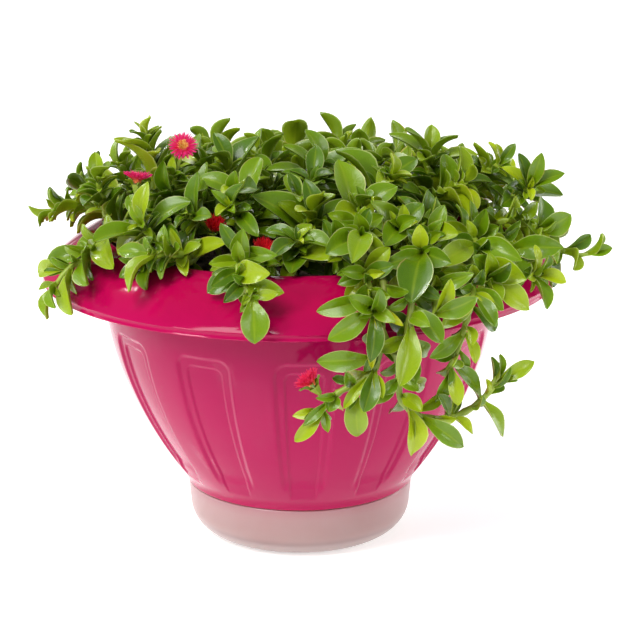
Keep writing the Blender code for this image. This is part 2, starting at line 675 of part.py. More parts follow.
def leaf_frame(base, tip, upper, bow, t):
    """Centre, sideways and upward directions at t along a leaf that arches towards its upper side."""
    chord = tip - base
    lift = (upper - chord * upper.dot(chord) / chord.length_squared).normalized() * chord.length * bow
    bend = (base + tip) / 2 + lift * 2
    centre = base.lerp(bend, t).lerp(bend.lerp(tip, t), t)
    ahead = ((bend - base) * (1 - t) + (tip - bend) * t).normalized()
    side = ahead.cross(lift).normalized()
    return centre, side, side.cross(ahead)


def leaf(base, tip, upper, width, stations, bow=LEAF_BOW, grow=0.0):
    """Fleshy channelled leaf: a root point sunk in the stem, rings of four points and a pointed tip."""
    reach = (tip - base).normalized()
    length = (tip - base).length
    thick = min(LEAF_THICKNESS, 0.55 + length * 0.09) + grow
    points, faces = [base - reach * LEAF_SUNK], [(0, 2, 1), (0, 3, 2), (0, 4, 3), (0, 1, 4)]
    for t in stations:
        centre, side, up = leaf_frame(base, tip, upper, bow, t)
        half = leaf_half_width(t, width) + grow
        channel = up * half * 2 * LEAF_CHANNEL
        depth = thick * (1 - 0.35 * t)
        points += [centre + side * half + channel, centre + up * grow, centre - side * half + channel,
                   centre - up * depth]
    rings = len(stations)
    for k in range(rings - 1):
        for j in range(4):
            a, b = 1 + 4 * k + j, 1 + 4 * k + (j + 1) % 4
            c, d = b + 4, a + 4
            faces += [(a, b, d), (b, c, d)] if j in (0, 3) else [(a, b, c), (a, c, d)]
    last = 1 + 4 * (rings - 1)
    end = len(points)
    points.append(tip + reach * grow)
    faces += [(last + j, last + (j + 1) % 4, end) for j in range(4)]
    return points, faces


class Garden:
    """Keeps what has been placed, so that the next leaf is set clear of it."""

    def __init__(self):
        self.bodies = []

    @staticmethod
    def tree(points, faces):
        low = [min(point[axis] for point in points) for axis in range(3)]
        high = [max(point[axis] for point in points) for axis in range(3)]
        return BVHTree.FromPolygons([Vector(point) for point in points], faces), low, high

    def add(self, shape, owner, free_end=None):
        """Keep a shape, and for its own plant only the part of it that is free of the stem."""
        self.bodies.append((owner, self.tree(*shape), self.tree(*(free_end or shape))))

    def forget(self, owner):
        self.bodies = [body for body in self.bodies if body[0] != owner]

    def crosses(self, shape, owner, free_end=None, ignore=()):
        whole = self.tree(*shape)
        free = self.tree(*(free_end or shape))
        for other_owner, other_whole, other_free in self.bodies:
            if other_owner in ignore:
                continue
            same = other_owner == owner
            trial, low, high = free if same else whole
            solid, other_low, other_high = other_free if same else other_whole
            near = all(low[k] <= other_high[k] and other_low[k] <= high[k] for k in range(3))
            if near and trial.overlap(solid):
                return True
        return False


def upper_side(base, ahead, outward, reach):
    """Where a leaf turns its upper side: to its shoot's tip and to the light, which for a leaf that
    hangs below the brim comes from outside."""
    hang = smoothstep((HANG_TOP_Z - base.z) / HANG_DROP)
    away = Vector((base.x, base.y, 0)).normalized()
    light = (away * (LIGHT_AWAY + hang) + Vector((0, 0, 1 - hang / 2))).normalized()
    course = reach.normalized()
    face = ahead if abs(course.dot(ahead)) < 0.9 else -outward.normalized()
    turned_to = face.lerp(light, LIGHT_PULL + HANG_PULL * hang)
    across = turned_to - course * turned_to.dot(course)
    return across.normalized() if across.length > 0.2 else face


def place_leaf(garden, owner, path, station, tip, width, rings):
    """Set one leaf on its stem, trying other holds where it would cross another body."""
    base, ahead = along(path, min(station, 0.985))
    reach = tip - base
    outward = reach - ahead * reach.dot(ahead)
    if outward.length < 0.2 * reach.length:
        outward = ahead.orthogonal() * reach.length
    hinge = ahead.cross(outward).normalized()
    upper = upper_side(base, ahead, outward, reach)
    for turn, lift, size in TRIALS:
        spin = Quaternion(ahead, math.radians(turn)) @ Quaternion(hinge, -math.radians(lift))
        end = base + spin @ (reach * size)
        up = Quaternion(ahead, math.radians(turn)) @ upper
        breadth = width * (0.4 + 0.6 * size)
        start = base + (end - base).normalized() * LEAF_COLLAR
        trial = leaf(base, end, up, breadth, rings, grow=LEAF_CLEARANCE)
        if garden.crosses(trial, owner, leaf(start, end, up, breadth, rings, grow=LEAF_CLEARANCE)):
            continue
        shape = leaf(base, end, up, breadth, rings)
        garden.add(shape, owner, leaf(start, end, up, breadth, rings))
        return {"base": base, "tip": end, "upper": up, "width": breadth, "mesh": shape}
    return None


def choose_root(x, y, roots):
    """A free place in the soil under a point, at least one spacing from every other root."""
    distance = math.hypot(x, y)
    scale = min(1.0, ROOT_REACH / max(distance, 1e-6))
    start = Vector((x * scale, y * scale))
    for ring in range(12):
        for k in range(max(1, 6 * ring)):
            angle = 2 * math.pi * k / max(1, 6 * ring)
            spot = start + Vector((math.cos(angle), math.sin(angle))) * ring * ROOT_SPACING * 0.6
            if spot.length <= ROOT_REACH and all((spot - Vector(r)).length >= ROOT_SPACING for r in roots):
                return (round(spot.x, 2), round(spot.y, 2))
    return None


def shown_plants(garden, roots):
    """The stems that show their own place, every one with its hand-set leaves."""
    plants = {}
    for name, (points, _) in SHOWN_STEMS.items():
        root = choose_root(points[0][0], points[0][1], roots)
        roots.append(root)
        path = stem_path(root, points, len(points) + 1)
        stalks = []
        for carrier, station, centre, facing, _, _ in BLOOMS.values():
            if carrier == name:
                stalks += bloom_stalk(path, station, centre, facing)
        plants[name] = {"stem": (path, STEM_RADIUS, STEM_TIP_RADIUS), "leaves": [], "stalks": stalks}
        for shape in [tube(path, STEM_RADIUS + 0.2, STEM_TIP_RADIUS, STEM_SIDES)] + stalks:
            garden.add(shape, name)
    for name, (_, leaves) in SHOWN_STEMS.items():
        path = plants[name]["stem"][0]
        for station, tip, width in leaves:
            rings = LARGE_RINGS if width > SMALL_WIDTH else SMALL_RINGS
            base, _ = along(path, station)
            width = max(width, (Vector(tip) - base).length * LEAF_LEAST_WIDTH)
            placed = place_leaf(garden, name, path, station, Vector(tip), width, rings)
            if placed:
                plants[name]["leaves"].append(placed)
    return plants


def mound_tip(x, y):
    """Height of a filler shoot's tip over a place on the pot."""
    distance = math.hypot(x, y) / (MOUND_RADIUS * 1.12)
    return MOUND_BASE_Z + MOUND_RISE * max(1 - distance * distance, 0.0) ** 0.8


def filler_plants(garden, roots, count, seed):
    """Stems spread evenly over the pot by the golden angle, each with decussate pairs of leaves."""
    draw = random.Random(seed)
    plants = {}
    for turn in range(FILLER_PLACES):
        if len(plants) == count:
            break
        place = turn * FILLER_STRIDE % FILLER_PLACES
        radius = MOUND_RADIUS * math.sqrt((place + 0.5) / FILLER_PLACES)
        angle = place * GOLDEN_ANGLE
        tip = Vector((radius * math.cos(angle), radius * math.sin(angle), 0))
        tip.z = mound_tip(tip.x, tip.y) + draw.uniform(-5, 4)
        if tip.y < FILLER_FRONT:
            continue
        root = choose_root(tip.x * 0.7, tip.y * 0.7, roots)
        if root is None:
            continue
        middle = Vector((root[0], root[1], 0)).lerp(tip, 0.4)
        middle.z = soil_height(*root) + (tip.z - soil_height(*root)) * 0.7
        path = stem_path(root, [middle, tip], 3)
        shape = tube(path, STEM_RADIUS + 0.3, STEM_TIP_RADIUS, STEM_SIDES)
        name = "stem_filler_%02d" % (len(plants) + 1)
        if garden.crosses(shape, name, ignore=("soil",)):
            continue
        placed = shoot_leaves(garden, name, path, draw)
        if len(placed) < 4:
            garden.forget(name)
            continue
        garden.add(shape, name)
        roots.append(root)
        plants[name] = {"stem": (path, STEM_RADIUS, STEM_TIP_RADIUS), "leaves": placed, "stalks": []}
    return plants


def shoot_leaves(garden, name, path, draw):
    placed = []
    turn = draw.uniform(0, math.pi)
    for order, (station, spread, length) in enumerate(SHOOT_PAIRS):
        base, ahead = along(path, min(station, 0.985))
        across = Quaternion(ahead, turn + order * math.pi / 2) @ ahead.orthogonal().normalized()
        for sign in (1, -1):
            angle = math.radians(spread + draw.uniform(-9, 9))
            size = length * draw.uniform(0.88, 1.12)
            tip = base + (ahead * math.cos(angle) + across * sign * math.sin(angle)) * size
            done = place_leaf(garden, name, path, station, tip, size * 0.56, SMALL_RINGS)
            if done:
                placed.append(done)
    return placed


def make_plant(name, plant, look):
    """Fuse the stem, the leaves and any flower stalk of one rooted stem into one body."""
    stem = tube(*plant["stem"], STEM_SIDES)
    return fuse(name, stem, [item["mesh"] for item in plant["leaves"]] + plant["stalks"], look)


# Blooms
def bloom_frame(facing):
    ahead = Vector(facing).normalized()
    across = ahead.orthogonal().normalized()
    return ahead, across, ahead.cross(across)


def bloom_space(centre, facing):
    """The room that a bloom needs, as a cone that opens the way it faces."""
    ahead = Vector(facing).normalized()
    middle = Vector(centre)
    return tube([middle - ahead * 2.6, middle - ahead * 1.5, middle + ahead * 4], 2.5, 8.2, 8)


def bloom_stalk(path, station, centre, facing):
    """Green stalk and cup that carry a bloom, from inside the stem to just under the petals."""
    base, _ = along(path, min(station, 0.985))
    ahead = Vector(facing).normalized()
    seat = Vector(centre) - ahead * (BLOOM_CORE + TOUCH_GAP)
    bend = seat - ahead * STALK_BEND
    route = curve_through([base, bend, seat], 5)
    stalk = tube(route[:-1], STALK_RADIUS, STALK_RADIUS, STEM_SIDES)
    calyx = [seat - ahead * CALYX_LENGTH, seat - ahead * CALYX_LENGTH / 2, seat]
    return [stalk, tube(calyx, STALK_RADIUS + 0.1, CALYX_RADIUS, 6)]


def make_petals(name, centre, facing, spread, look):
    """One closed corolla: narrow petals round a small cup, every second one shorter and steeper."""
    ahead, across, beside = bloom_frame(facing)
    middle = Vector(centre)
    step = 2 * math.pi / BLOOM_PETALS

    def outward(turn):
        return across * math.cos(turn) + beside * math.sin(turn)

    points = [middle + ahead * CUP_RIM_TOP, middle - ahead * BLOOM_CORE]
    faces = []
    for k in range(BLOOM_PETALS):
        turn = k * step
        steep = k % 2
        lean = math.radians(max(spread - PETAL_STEEPER * steep, PETAL_LEAST_LEAN))
        reach = BLOOM_RADIUS * (1 - PETAL_SHORTER * steep)
        direction = outward(turn) * math.sin(lean) + ahead * math.cos(lean)
        valley = outward(turn - step / 2)
        root = middle + outward(turn) * BLOOM_CUP * PETAL_ROOT_SHARE
        waist = root + direction * reach * PETAL_WAIST_SHARE
        room = PETAL_ROOM * step * (waist - middle).dot(outward(turn))
        half = outward(turn + math.pi / 2) * min(PETAL_HALF_WIDTH, room)
        back = outward(turn) * math.cos(lean) - ahead * math.sin(lean)
        rim = middle + valley * BLOOM_CUP
        points += [rim + ahead * CUP_RIM_TOP, rim - ahead * CUP_RIM_LOW, waist - half, waist + half,
                   middle + direction * reach, waist - back * PETAL_UPPER_RISE,
                   waist + back * PETAL_UNDER_RISE]
    for k in range(BLOOM_PETALS):
        top, low, left, right, tip, upper, under = (2 + 7 * k + j for j in range(7))
        next_top, next_low = (2 + 7 * ((k + 1) % BLOOM_PETALS) + j for j in range(2))
        rim = (top, left, tip, right, next_top)
        faces += [(0, top, upper), (0, upper, next_top)]
        faces += [(a, b, upper) for a, b in zip(rim, rim[1:])]
        rim = (low, left, tip, right, next_low)
        faces += [(1, under, low), (1, next_low, under)]
        faces += [(b, a, under) for a, b in zip(rim, rim[1:])]
        faces += [(top, low, left), (right, next_low, next_top)]
    body = solid(name, (points, faces), look)
    keep_main_body(body, 35)
    return body


def make_eye(name, centre, facing, look):
    """Low dome of stamens in the middle of an open bloom."""
    ahead = Vector(facing).normalized()
    seat = Vector(centre) + ahead * (EYE_SEAT + TOUCH_GAP)
    dome = tube([seat, seat + ahead * EYE_HEIGHT * 0.6, seat + ahead * EYE_HEIGHT], EYE_RADIUS,
                EYE_RADIUS * 0.5, 8)
    eye = solid(name, dome, look)
    keep_main_body(eye, 35)
    return eye


def mesh_of(target):
    """Points in millimetres and faces of an object that has been made."""
    points = [vert.co / MM for vert in target.data.vertices]
    return points, [tuple(face.vertices) for face in target.data.polygons]


def build():
    clear_scene()
    pink = material("pink plastic", (0.70, 0.020, 0.130), 0.28)
    milky = material("milky plastic", (0.80, 0.62, 0.56), 0.40)
    earth = material("potting soil", (0.060, 0.040, 0.028), 0.95)
    green = material("fleshy leaf", (0.200, 0.340, 0.030), 0.38)
    petal = material("petal", (0.78, 0.020, 0.100), 0.55)
    stamen = material("stamen", (0.90, 0.42, 0.05), 0.70)

    pot = make_pot(pink)
    make_saucer(milky)
    garden = Garden()
    garden.add(mesh_of(pot), "pot")
    garden.add(turned(soil_profile(), SOIL_SIDES), "soil")
    roots = []
    for name, (_, _, centre, facing, _, _) in BLOOMS.items():
        garden.add(bloom_space(centre, facing), name)
    plants = shown_plants(garden, roots)
    plants.update(filler_plants(garden, roots, FILLER_STEMS, FILLER_SEED))
    make_soil(earth, roots)
    for name, plant in plants.items():
        make_plant(name, plant, green)
    for name, (_, _, centre, facing, spread, has_eye) in BLOOMS.items():
        make_petals(name, centre, facing, spread, petal)
        if has_eye:
            make_eye(name + "_eye", centre, facing, stamen)


build()
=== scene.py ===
"""Looks of the potted ice plant: a pink plastic bowl on a milky saucer, full of fleshy trailing stems.

Lengths are millimetres until a mesh is made, and metres for lights and camera. The plant is placed by
the same rule as the solids.
"""
import math
import random

import bmesh
import bpy
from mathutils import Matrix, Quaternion, Vector
from mathutils.bvhtree import BVHTree


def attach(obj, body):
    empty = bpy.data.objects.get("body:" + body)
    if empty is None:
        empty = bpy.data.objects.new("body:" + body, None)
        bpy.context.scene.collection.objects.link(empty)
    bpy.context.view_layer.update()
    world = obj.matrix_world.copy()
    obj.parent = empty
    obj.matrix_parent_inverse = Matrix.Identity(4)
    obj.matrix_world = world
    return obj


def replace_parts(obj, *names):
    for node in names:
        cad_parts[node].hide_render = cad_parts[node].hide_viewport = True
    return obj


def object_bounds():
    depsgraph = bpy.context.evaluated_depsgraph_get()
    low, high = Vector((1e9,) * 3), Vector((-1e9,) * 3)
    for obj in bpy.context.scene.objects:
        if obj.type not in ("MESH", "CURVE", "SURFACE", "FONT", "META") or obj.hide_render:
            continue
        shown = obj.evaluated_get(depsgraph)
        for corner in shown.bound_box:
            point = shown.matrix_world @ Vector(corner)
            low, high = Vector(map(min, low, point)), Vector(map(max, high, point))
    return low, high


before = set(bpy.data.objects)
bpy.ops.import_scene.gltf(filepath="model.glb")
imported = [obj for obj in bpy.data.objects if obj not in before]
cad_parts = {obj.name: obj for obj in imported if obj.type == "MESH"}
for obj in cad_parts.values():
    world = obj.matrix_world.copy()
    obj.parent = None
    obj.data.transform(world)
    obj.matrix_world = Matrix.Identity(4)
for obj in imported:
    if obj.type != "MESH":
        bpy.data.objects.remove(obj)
CAD_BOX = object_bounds()
BODY = "root"

MM = 0.001

# Pot
BRIM_RADIUS = 130.0
BRIM_EDGE_Z = 135.6
BRIM_TOP_Z = 159.0
BRIM_TOP_RADIUS = 101.0
BRIM_ROUNDNESS = 1.5
LIP_HEIGHT = 3.8
LIP_TOP_Z = BRIM_EDGE_Z + LIP_HEIGHT
BRIM_WIDTH = BRIM_RADIUS - BRIM_TOP_RADIUS
BODY_RADIUS = 99.5
BODY_TOP_Z = 131
SHOULDER_Z = 131.8
SHOULDER_POWER = 0.86
WALL = 2.2
POT_FOOT_Z = 27.8
POT_FOOT_RADIUS = 56.0
POT_FOOT_EDGE = 58.8
POT_FOOT_CHAMFER = 1.2
INSIDE_RADIUS = 97.0
INSIDE_HEIGHTS = (131, 84, 45)
TOUCH_GAP = 0.3
ARCH_COUNT = 12
ARCH_TURN = math.radians(1.9)
ARCH_TOP_Z = 115.0
ARCH_FOOT_Z = 42.0
ARCH_HALF_ANGLE = math.radians(8.4)
ARCH_CORNER = 6.0
ARCH_DEPTH = 0.8
PANEL_INSET = 4.7
PANEL_FOOT_Z = 36.0
PANEL_DEPTH = 1.4
OUTER_FLANK = 2.5
INNER_FLANK = 1.4
RELIEF = 1.6
FLUTES = 36
FLUTE_DEPTH = 0.35

# Saucer and soil
SAUCER_TOP_RADIUS = 58.0
SAUCER_RADIUS = 57.0
SAUCER_CORNER = 16.0
SAUCER_WALL = 2.0
SAUCER_LEDGE = 8.0
SAUCER_FLOOR = 4.0
SOIL_EDGE_Z = 149.0
SOIL_CROWN = 4.0
SOIL_SIDES = 20
SOIL_RADII = (60, 30, 0)
SOIL_SEED = 5
CRUMBS = 900
CRUMB_REACH = 92

# Stems and leaves
ROOT_DEPTH = 7.0
ROOT_REACH = 84.0
ROOT_SPACING = 7.0
STEM_RADIUS = 1.7
STEM_TIP_RADIUS = 1.35
STEM_SIDES = 4
LEAF_THICKNESS = 2.4
LEAF_CHANNEL = 0.16
LEAF_BOW = 0.14
LEAF_ROOT_WIDTH = 0.16
LEAF_SUNK = 1.1
LEAF_LEAST_WIDTH = 0.47
LEAF_COLLAR = STEM_RADIUS + 1.0 + LEAF_SUNK
WIDEST_AT = 0.58
# Stations of a leaf's rings where it is placed; a leaf wider than SMALL_WIDTH has two
LARGE_RINGS = (0.5, 0.8)
SMALL_RINGS = (0.58,)
SMALL_WIDTH = 11
LEAF_CLEARANCE = 0.5
LAST_STATION = 0.985
LIGHT_AWAY = 0.3
LIGHT_PULL = 0.3
HANG_PULL = 0.5
HANG_TOP_Z = 168.0
HANG_DROP = 20.0
GOLDEN_ANGLE = math.radians(137.508)
FILLER_STEMS = 18
FILLER_PLACES = 30
FILLER_STRIDE = 7
FILLER_SEED = 11
FILLER_FRONT = -75.0
MOUND_RADIUS = 121.0
MOUND_BASE_Z = 164.0
MOUND_RISE = 27.0

# Blooms
BLOOM_RADIUS = 7.5
BLOOM_CUP = 2.4
BLOOM_CORE = 2.2
STALK_RADIUS = 1.1
STALK_BEND = 7.0
CALYX_LENGTH = 4.6
CALYX_RADIUS = 3.0

# Name: (points of the stem, leaves as (station, x, y, z of the tip, width))
SHOWN_STEMS = {
    "stem_left_upright": ([(-73, -30, 172), (-71, -30, 190), (-73, -30, 201), (-74, -30, 209)],
        [(0.62, -90, -34, 211, 9), (0.62, -62, -24, 215, 9), (0.8, -83, -38, 216, 6),
        (0.8, -67, -30, 215, 6), (1, -80, -30, 219, 6), (1, -72, -32, 222, 7)]),
    "stem_left_flower": ([(-61, -30, 167), (-60, -34, 183), (-61, -38, 193)], [(0.8, -62, -44, 211, 8),
        (0.8, -50, -34, 197, 8), (0.5, -70, -50, 194, 8), (0.5, -50, -52, 190, 9)]),
    "stem_left_small": ([(-83, 10, 170), (-87, 10, 180), (-89, 9, 188)], [(0.75, -97, 5, 195, 6),
        (0.75, -81, 13, 196, 8), (1, -92, 9, 203, 5), (1, -85, 0, 198, 5)]),
    "stem_left_upper": ([(-93, -25, 168), (-97, -28, 179), (-98, -30, 189)], [(0.55, -111, -30, 190, 8),
        (0.55, -86, -38, 188, 10), (0.8, -104, -48, 181, 10), (1, -100, -26, 203, 9),
        (1, -92, -38, 198, 12)]),
    "stem_left_far": ([(-95, -5, 167), (-106, -8, 172), (-117, -10, 172), (-124, -10, 170)],
        [(0.45, -121, -4, 184, 11), (0.45, -111, -18, 160, 8), (0.7, -123, -26, 168, 11),
        (0.85, -125, -10, 181, 9), (1, -136, -10, 172, 8), (1, -130, -16, 163, 6)]),
    "stem_left_arch": ([(-68, -52, 160), (-71, -62, 168), (-74, -70, 176)], [(0.8, -96, -84, 172, 15),
        (0.8, -51, -66, 187, 16), (1, -71, -68, 197, 10), (0.5, -84, -84, 165, 9), (0.5, -61, -86, 177, 12),
        (1, -81, -58, 188, 9)]),
    "stem_left_brim": ([(-53, -70, 158), (-52, -82, 164), (-59, -90, 167), (-66, -94, 168)],
        [(0.4, -33, -86, 172, 10), (0.4, -48, -88, 180, 9), (0.75, -62, -98, 178, 9),
        (1, -78, -106, 153, 10), (1, -84, -88, 168, 8)]),
    "stem_left_trailing": ([(-83, -42, 164), (-92, -52, 165), (-103, -60, 158), (-111, -66, 153),
        (-116, -69, 147)], [(0.45, -87, -82, 158, 9), (0.45, -93, -44, 176, 9), (0.65, -122, -54, 150, 9),
        (0.65, -99, -86, 151, 7), (0.85, -107, -84, 136, 9), (0.85, -126, -56, 150, 8),
        (1, -120, -74, 131, 8), (1, -115, -83, 139, 6)]),
    "stem_top_left": ([(-30, -20, 170), (-33, -22, 181), (-34, -24, 193)], [(0.5, -46, -38, 176, 14),
        (0.5, -14, -30, 191, 13), (0.8, -50, -34, 192, 10), (0.8, -20, -10, 208, 8), (1, -42, -18, 211, 12),
        (1, -44, -40, 205, 8)]),
    "stem_top_centre": ([(9, -5, 169), (9, -8, 180), (9, -10, 190)], [(0.5, -16, -22, 193, 9),
        (0.5, 31, -4, 200, 14), (0.8, -8, -14, 204, 9), (0.8, 20, -32, 190, 10), (1, 3, -10, 211, 13),
        (1, 15, -14, 211, 10)]),
    "stem_centre_bright": ([(7, -50, 159), (8, -56, 168), (8, -60, 176)], [(0.4, -22, -62, 189, 12),
        (0.6, -15, -50, 187, 9), (0.6, 26, -50, 184, 9), (0.85, 5, -62, 197, 8), (0.85, 20, -66, 191, 8),
        (1, -1, -78, 185, 7), (1, 14, -78, 189, 7)]),
    "stem_centre_hollow": ([(-1, -72, 156), (0, -82, 165), (0, -88, 172)], [(0.6, -8, -104, 160, 9),
        (0.6, 14, -104, 163, 10), (1, -12, -102, 168, 9), (1, 16, -96, 172, 10), (1, 6, -84, 180, 9),
        (1, -15, -84, 177, 9)]),
    "stem_front_hanging": ([(-22, -80, 163), (-25, -98, 167), (-27, -110, 165), (-25, -121, 161),
        (-20, -127, 156)], [(0.5, -25, -106, 183, 11), (0.5, -9, -112, 172, 9), (0.7, -39, -122, 160, 8),
        (0.7, -12, -130, 168, 6), (0.85, -33, -132, 155, 5), (0.85, -6, -126, 158, 9),
        (1, -19, -136, 137, 15)]),
    "stem_front_yellow": ([(27, -62, 163), (28, -80, 174), (29, -100, 178)], [(0.6, 14, -88, 186, 11),
        (0.6, 40, -84, 184, 11), (1, 13, -114, 173, 13), (1, 22, -122, 166, 13), (1, 41, -114, 168, 10),
        (0.85, 27, -104, 190, 10)]),
    "stem_centre_right": ([(43, -54, 160), (45, -68, 170), (48, -82, 177)], [(0.5, 34, -78, 190, 15),
        (0.5, 61, -94, 170, 12), (0.85, 59, -76, 188, 11), (0.85, 40, -102, 174, 11), (1, 49, -86, 190, 8),
        (1, 55, -96, 186, 8)]),
    "stem_top_right": ([(66, 10, 174), (66, 6, 186), (66, 4, 195)], [(0.45, 51, -10, 187, 10),
        (0.45, 84, 0, 189, 10), (0.75, 45, 6, 206, 8), (0.75, 90, 2, 196, 10), (1, 53, 0, 210, 7),
        (1, 67, 10, 210, 9), (0.9, 76, 0, 210, 10), (0.9, 60, -18, 197, 10)]),
    "stem_right_back": ([(80, 18, 172), (92, 6, 184), (100, -4, 192)], [(0.7, 85, -6, 195, 10),
        (0.7, 111, -12, 187, 9), (1, 108, -4, 203, 6), (1, 95, 0, 203, 6)]),
    "stem_right_upper": ([(100, 2, 171), (110, -12, 178), (113, -24, 184)], [(0.7, 131, -20, 180, 9),
        (0.7, 99, -32, 177, 9), (1, 131, -24, 192, 10), (1, 100, -24, 195, 7), (1, 108, -24, 202, 9),
        (1, 119, -28, 203, 6)]),
    "stem_right_round": ([(98, -33, 169), (108, -43, 172), (116, -52, 170)], [(0.7, 102, -60, 178, 11),
        (0.7, 128, -66, 164, 11), (1, 131, -54, 178, 14), (1, 118, -42, 184, 12), (1, 113, -72, 166, 10)]),
    "stem_right_end": ([(98, -14, 168), (113, -25, 164), (126, -38, 158), (135, -46, 156), (141, -48, 157)],
        [(0.6, 131, -44, 170, 11), (0.6, 132, -56, 145, 10), (0.85, 143, -38, 164, 8),
        (0.85, 138, -60, 152, 7), (1, 147, -51, 168, 8), (1, 152, -46, 161, 7), (0.4, 120, -50, 152, 10)]),
    "stem_right_low": ([(92, -46, 168), (101, -70, 164), (111, -84, 155)], [(0.75, 100, -94, 151, 9),
        (0.75, 125, -80, 168, 9), (1, 111, -84, 170, 7), (1, 117, -92, 167, 6), (1, 126, -88, 153, 9),
        (1, 117, -92, 141, 5)]),
    "stem_front_right": ([(82, -48, 168), (84, -82, 169), (87, -103, 158)], [(0.7, 69, -108, 166, 13),
        (0.7, 104, -98, 166, 9), (0.85, 80, -114, 172, 7), (0.85, 105, -110, 160, 8), (1, 86, -104, 179, 7),
        (1, 98, -106, 176, 8), (1, 92, -117, 150, 9), (1, 107, -108, 145, 6)]),
    "stem_front_folded": ([(58, -80, 163), (62, -104, 160), (63, -120, 153), (62, -129, 148)],
        [(1, 69, -132, 166, 9), (1, 81, -131, 161, 7), (0.75, 80, -122, 166, 8)]),
    "stem_big_down": ([(64, -66, 165), (61, -86, 174), (57, -104, 171)], [(0.5, 68, -100, 180, 11),
        (0.5, 44, -104, 180, 9), (1, 53, -129, 148, 18), (1, 70, -118, 170, 10), (1, 43, -122, 168, 9),
        (1, 56, -110, 186, 8)]),
    "stem_front_rosette": ([(25, -84, 163), (30, -110, 166), (33, -126, 158), (34, -132, 151)],
        [(0.7, 44, -122, 170, 9), (0.7, 20, -126, 168, 8), (0.9, 9, -136, 152, 12), (0.9, 42, -139, 160, 8),
        (1, 23, -143, 161, 7), (1, 37, -146, 165, 7), (1, 33, -142, 130, 11), (1, 14, -147, 142, 5),
        (1, 44, -143, 149, 5)]),
    "stem_trailing_left": ([(31, -78, 163), (36, -108, 168), (40, -126, 158), (38, -134, 146),
        (37, -134, 134), (36, -134, 125), (29, -134, 119), (21, -135, 115), (15, -135, 110),
        (11, -135, 104)], [(0.73, 9, -134, 128, 11), (0.77, 28, -139, 105, 8), (0.86, 28, -135, 93, 6),
        (0.86, 22, -144, 126, 5), (0.92, 14, -143, 107, 8), (0.92, 6, -139, 110, 8), (1, -2, -137, 103, 5),
        (1, -1, -140, 92, 8), (1, 14, -139, 96, 5)]),
    "stem_trailing_right": ([(50, -82, 165), (52, -104, 168), (52, -124, 160), (51, -131, 146),
        (48, -131, 131), (46, -131, 118), (48, -131, 108), (56, -131, 101), (68, -128, 99), (79, -124, 102),
        (87, -121, 108), (92, -119, 116)], [(0.5, 45, -143, 116, 14), (0.46, 61, -139, 134, 9),
        (0.64, 37, -140, 114, 8), (0.64, 55, -140, 116, 8), (0.72, 52, -137, 84, 10),
        (0.76, 76, -133, 87, 9), (0.83, 64, -136, 113, 9), (0.84, 73, -123, 114, 7), (0.93, 95, -122, 88, 9),
        (0.93, 72, -129, 124, 9), (1, 109, -117, 123, 5), (1, 93, -119, 127, 5), (1, 101, -124, 116, 5)]),
    "stem_trailing_mid": ([(78, -64, 163), (81, -90, 161), (80, -116, 155), (77, -124, 145), (74, -126, 134),
        (69, -127, 122)], [(0.7, 60, -136, 143, 9), (0.7, 90, -129, 143, 7), (0.85, 60, -135, 130, 9),
        (0.85, 81, -130, 126, 8), (1, 76, -131, 107, 8), (1, 63, -132, 108, 7), (0.95, 70, -142, 128, 7)]),
}
# Leaves that only the finished plant has: (station, x, y, z of the tip, width, how old from 0 to 1)
MORE_LEAVES = {
    "stem_front_rosette": [(0.97, 30, -137, 126, 6, 0.4), (0.96, 47, -143, 150, 5, 0.28),
        (0.9, 26, -146, 154, 5, 0.0)],
    "stem_trailing_right": [(0.52, 53, -143, 128, 8, 0.0), (0.97, 98, -121, 124, 4, 0.0)],
    "stem_trailing_left": [(0.95, 3, -142, 100, 5, 0.0), (0.8, 21, -141, 108, 6, 0.0)],
    "stem_trailing_mid": [(0.6, 66, -137, 150, 7, 0.0), (0.78, 66, -138, 138, 7, 0.0)],
}
# Name: (stem, station, centre, facing, degrees that it is open, whether its eye shows)
BLOOMS = {
    "bloom_open": ("stem_left_flower", 1.0, (-56, -40, 208.5), (0.1, -0.8, 0.55), 78, True),
    "bloom_back": ("stem_left_upper", 0.5, (-78, -43, 193), (0.1, 0.1, 0.98), 60, False),
    "bloom_left_bud": ("stem_left_brim", 0.3, (-40, -67, 174.5), (0.2, -0.6, 0.7), 30, False),
    "bloom_centre": ("stem_front_hanging", 0.3, (-16, -89, 168), (0.1, -0.5, 0.8), 28, False),
    "bloom_low": ("stem_trailing_left", 0.9, (6, -137, 119), (-0.6, -0.1, 0.75), 46, False),
}
# Degrees about the stem, degrees of lift and share of the size that a leaf is tried at
TRIALS = ((0, 0, 1.0), (0, 14, 1.0), (14, 6, 1.0), (-14, 6, 1.0), (0, -14, 0.95), (22, 20, 0.9),
          (-22, 20, 0.9), (0, 30, 0.9), (10, 0, 0.8), (-10, 0, 0.8), (0, 22, 0.75), (0, 0, 0.65))
# Station, degrees off the stem and length of the pairs on a filler stem
SHOOT_PAIRS = ((0.55, 80, 27), (0.74, 70, 27), (0.9, 56, 22), (1.0, 26, 16))
SHOOT_STATIONS = (0.5, 0.66, 0.8, 0.92, 1.0)
SHOOT_SIZES = (20, 23, 23, 20, 13)
YOUNG_STATIONS = (0.56, 0.63, 0.7, 0.77, 0.84, 0.9, 0.95, 0.98)
YOUNG_SIZES = (14, 14, 13, 13, 12, 11, 10, 9)
YOUNG_LOWEST = 152.0
# Count, turn and rise of the short shoots between the stems
BETWEEN_SHOOTS = (120, 0.7, 0)
LOW_SHOOTS = (80, 2.1, -9)
FRONT_SHOOTS = ((-15, -98, 164), (-6, -95, 162), (-1, -93, 168), (4, -98, 162), (10, -94, 165),
                (14, -98, 161), (20, -97, 168), (27, -94, 162), (33, -97, 163))
EXTRA_SEED = 23
EXTRA_SPACING = 13
# Leaf tone shifts: painted light on the stems that make the outside of the mound, painted shade on the short
# shoots between and under them.
FRONT_PAINTED_LIGHT = 0.09
INNER_PAINTED_SHADE = -0.08
VIEW_MARGIN = 3

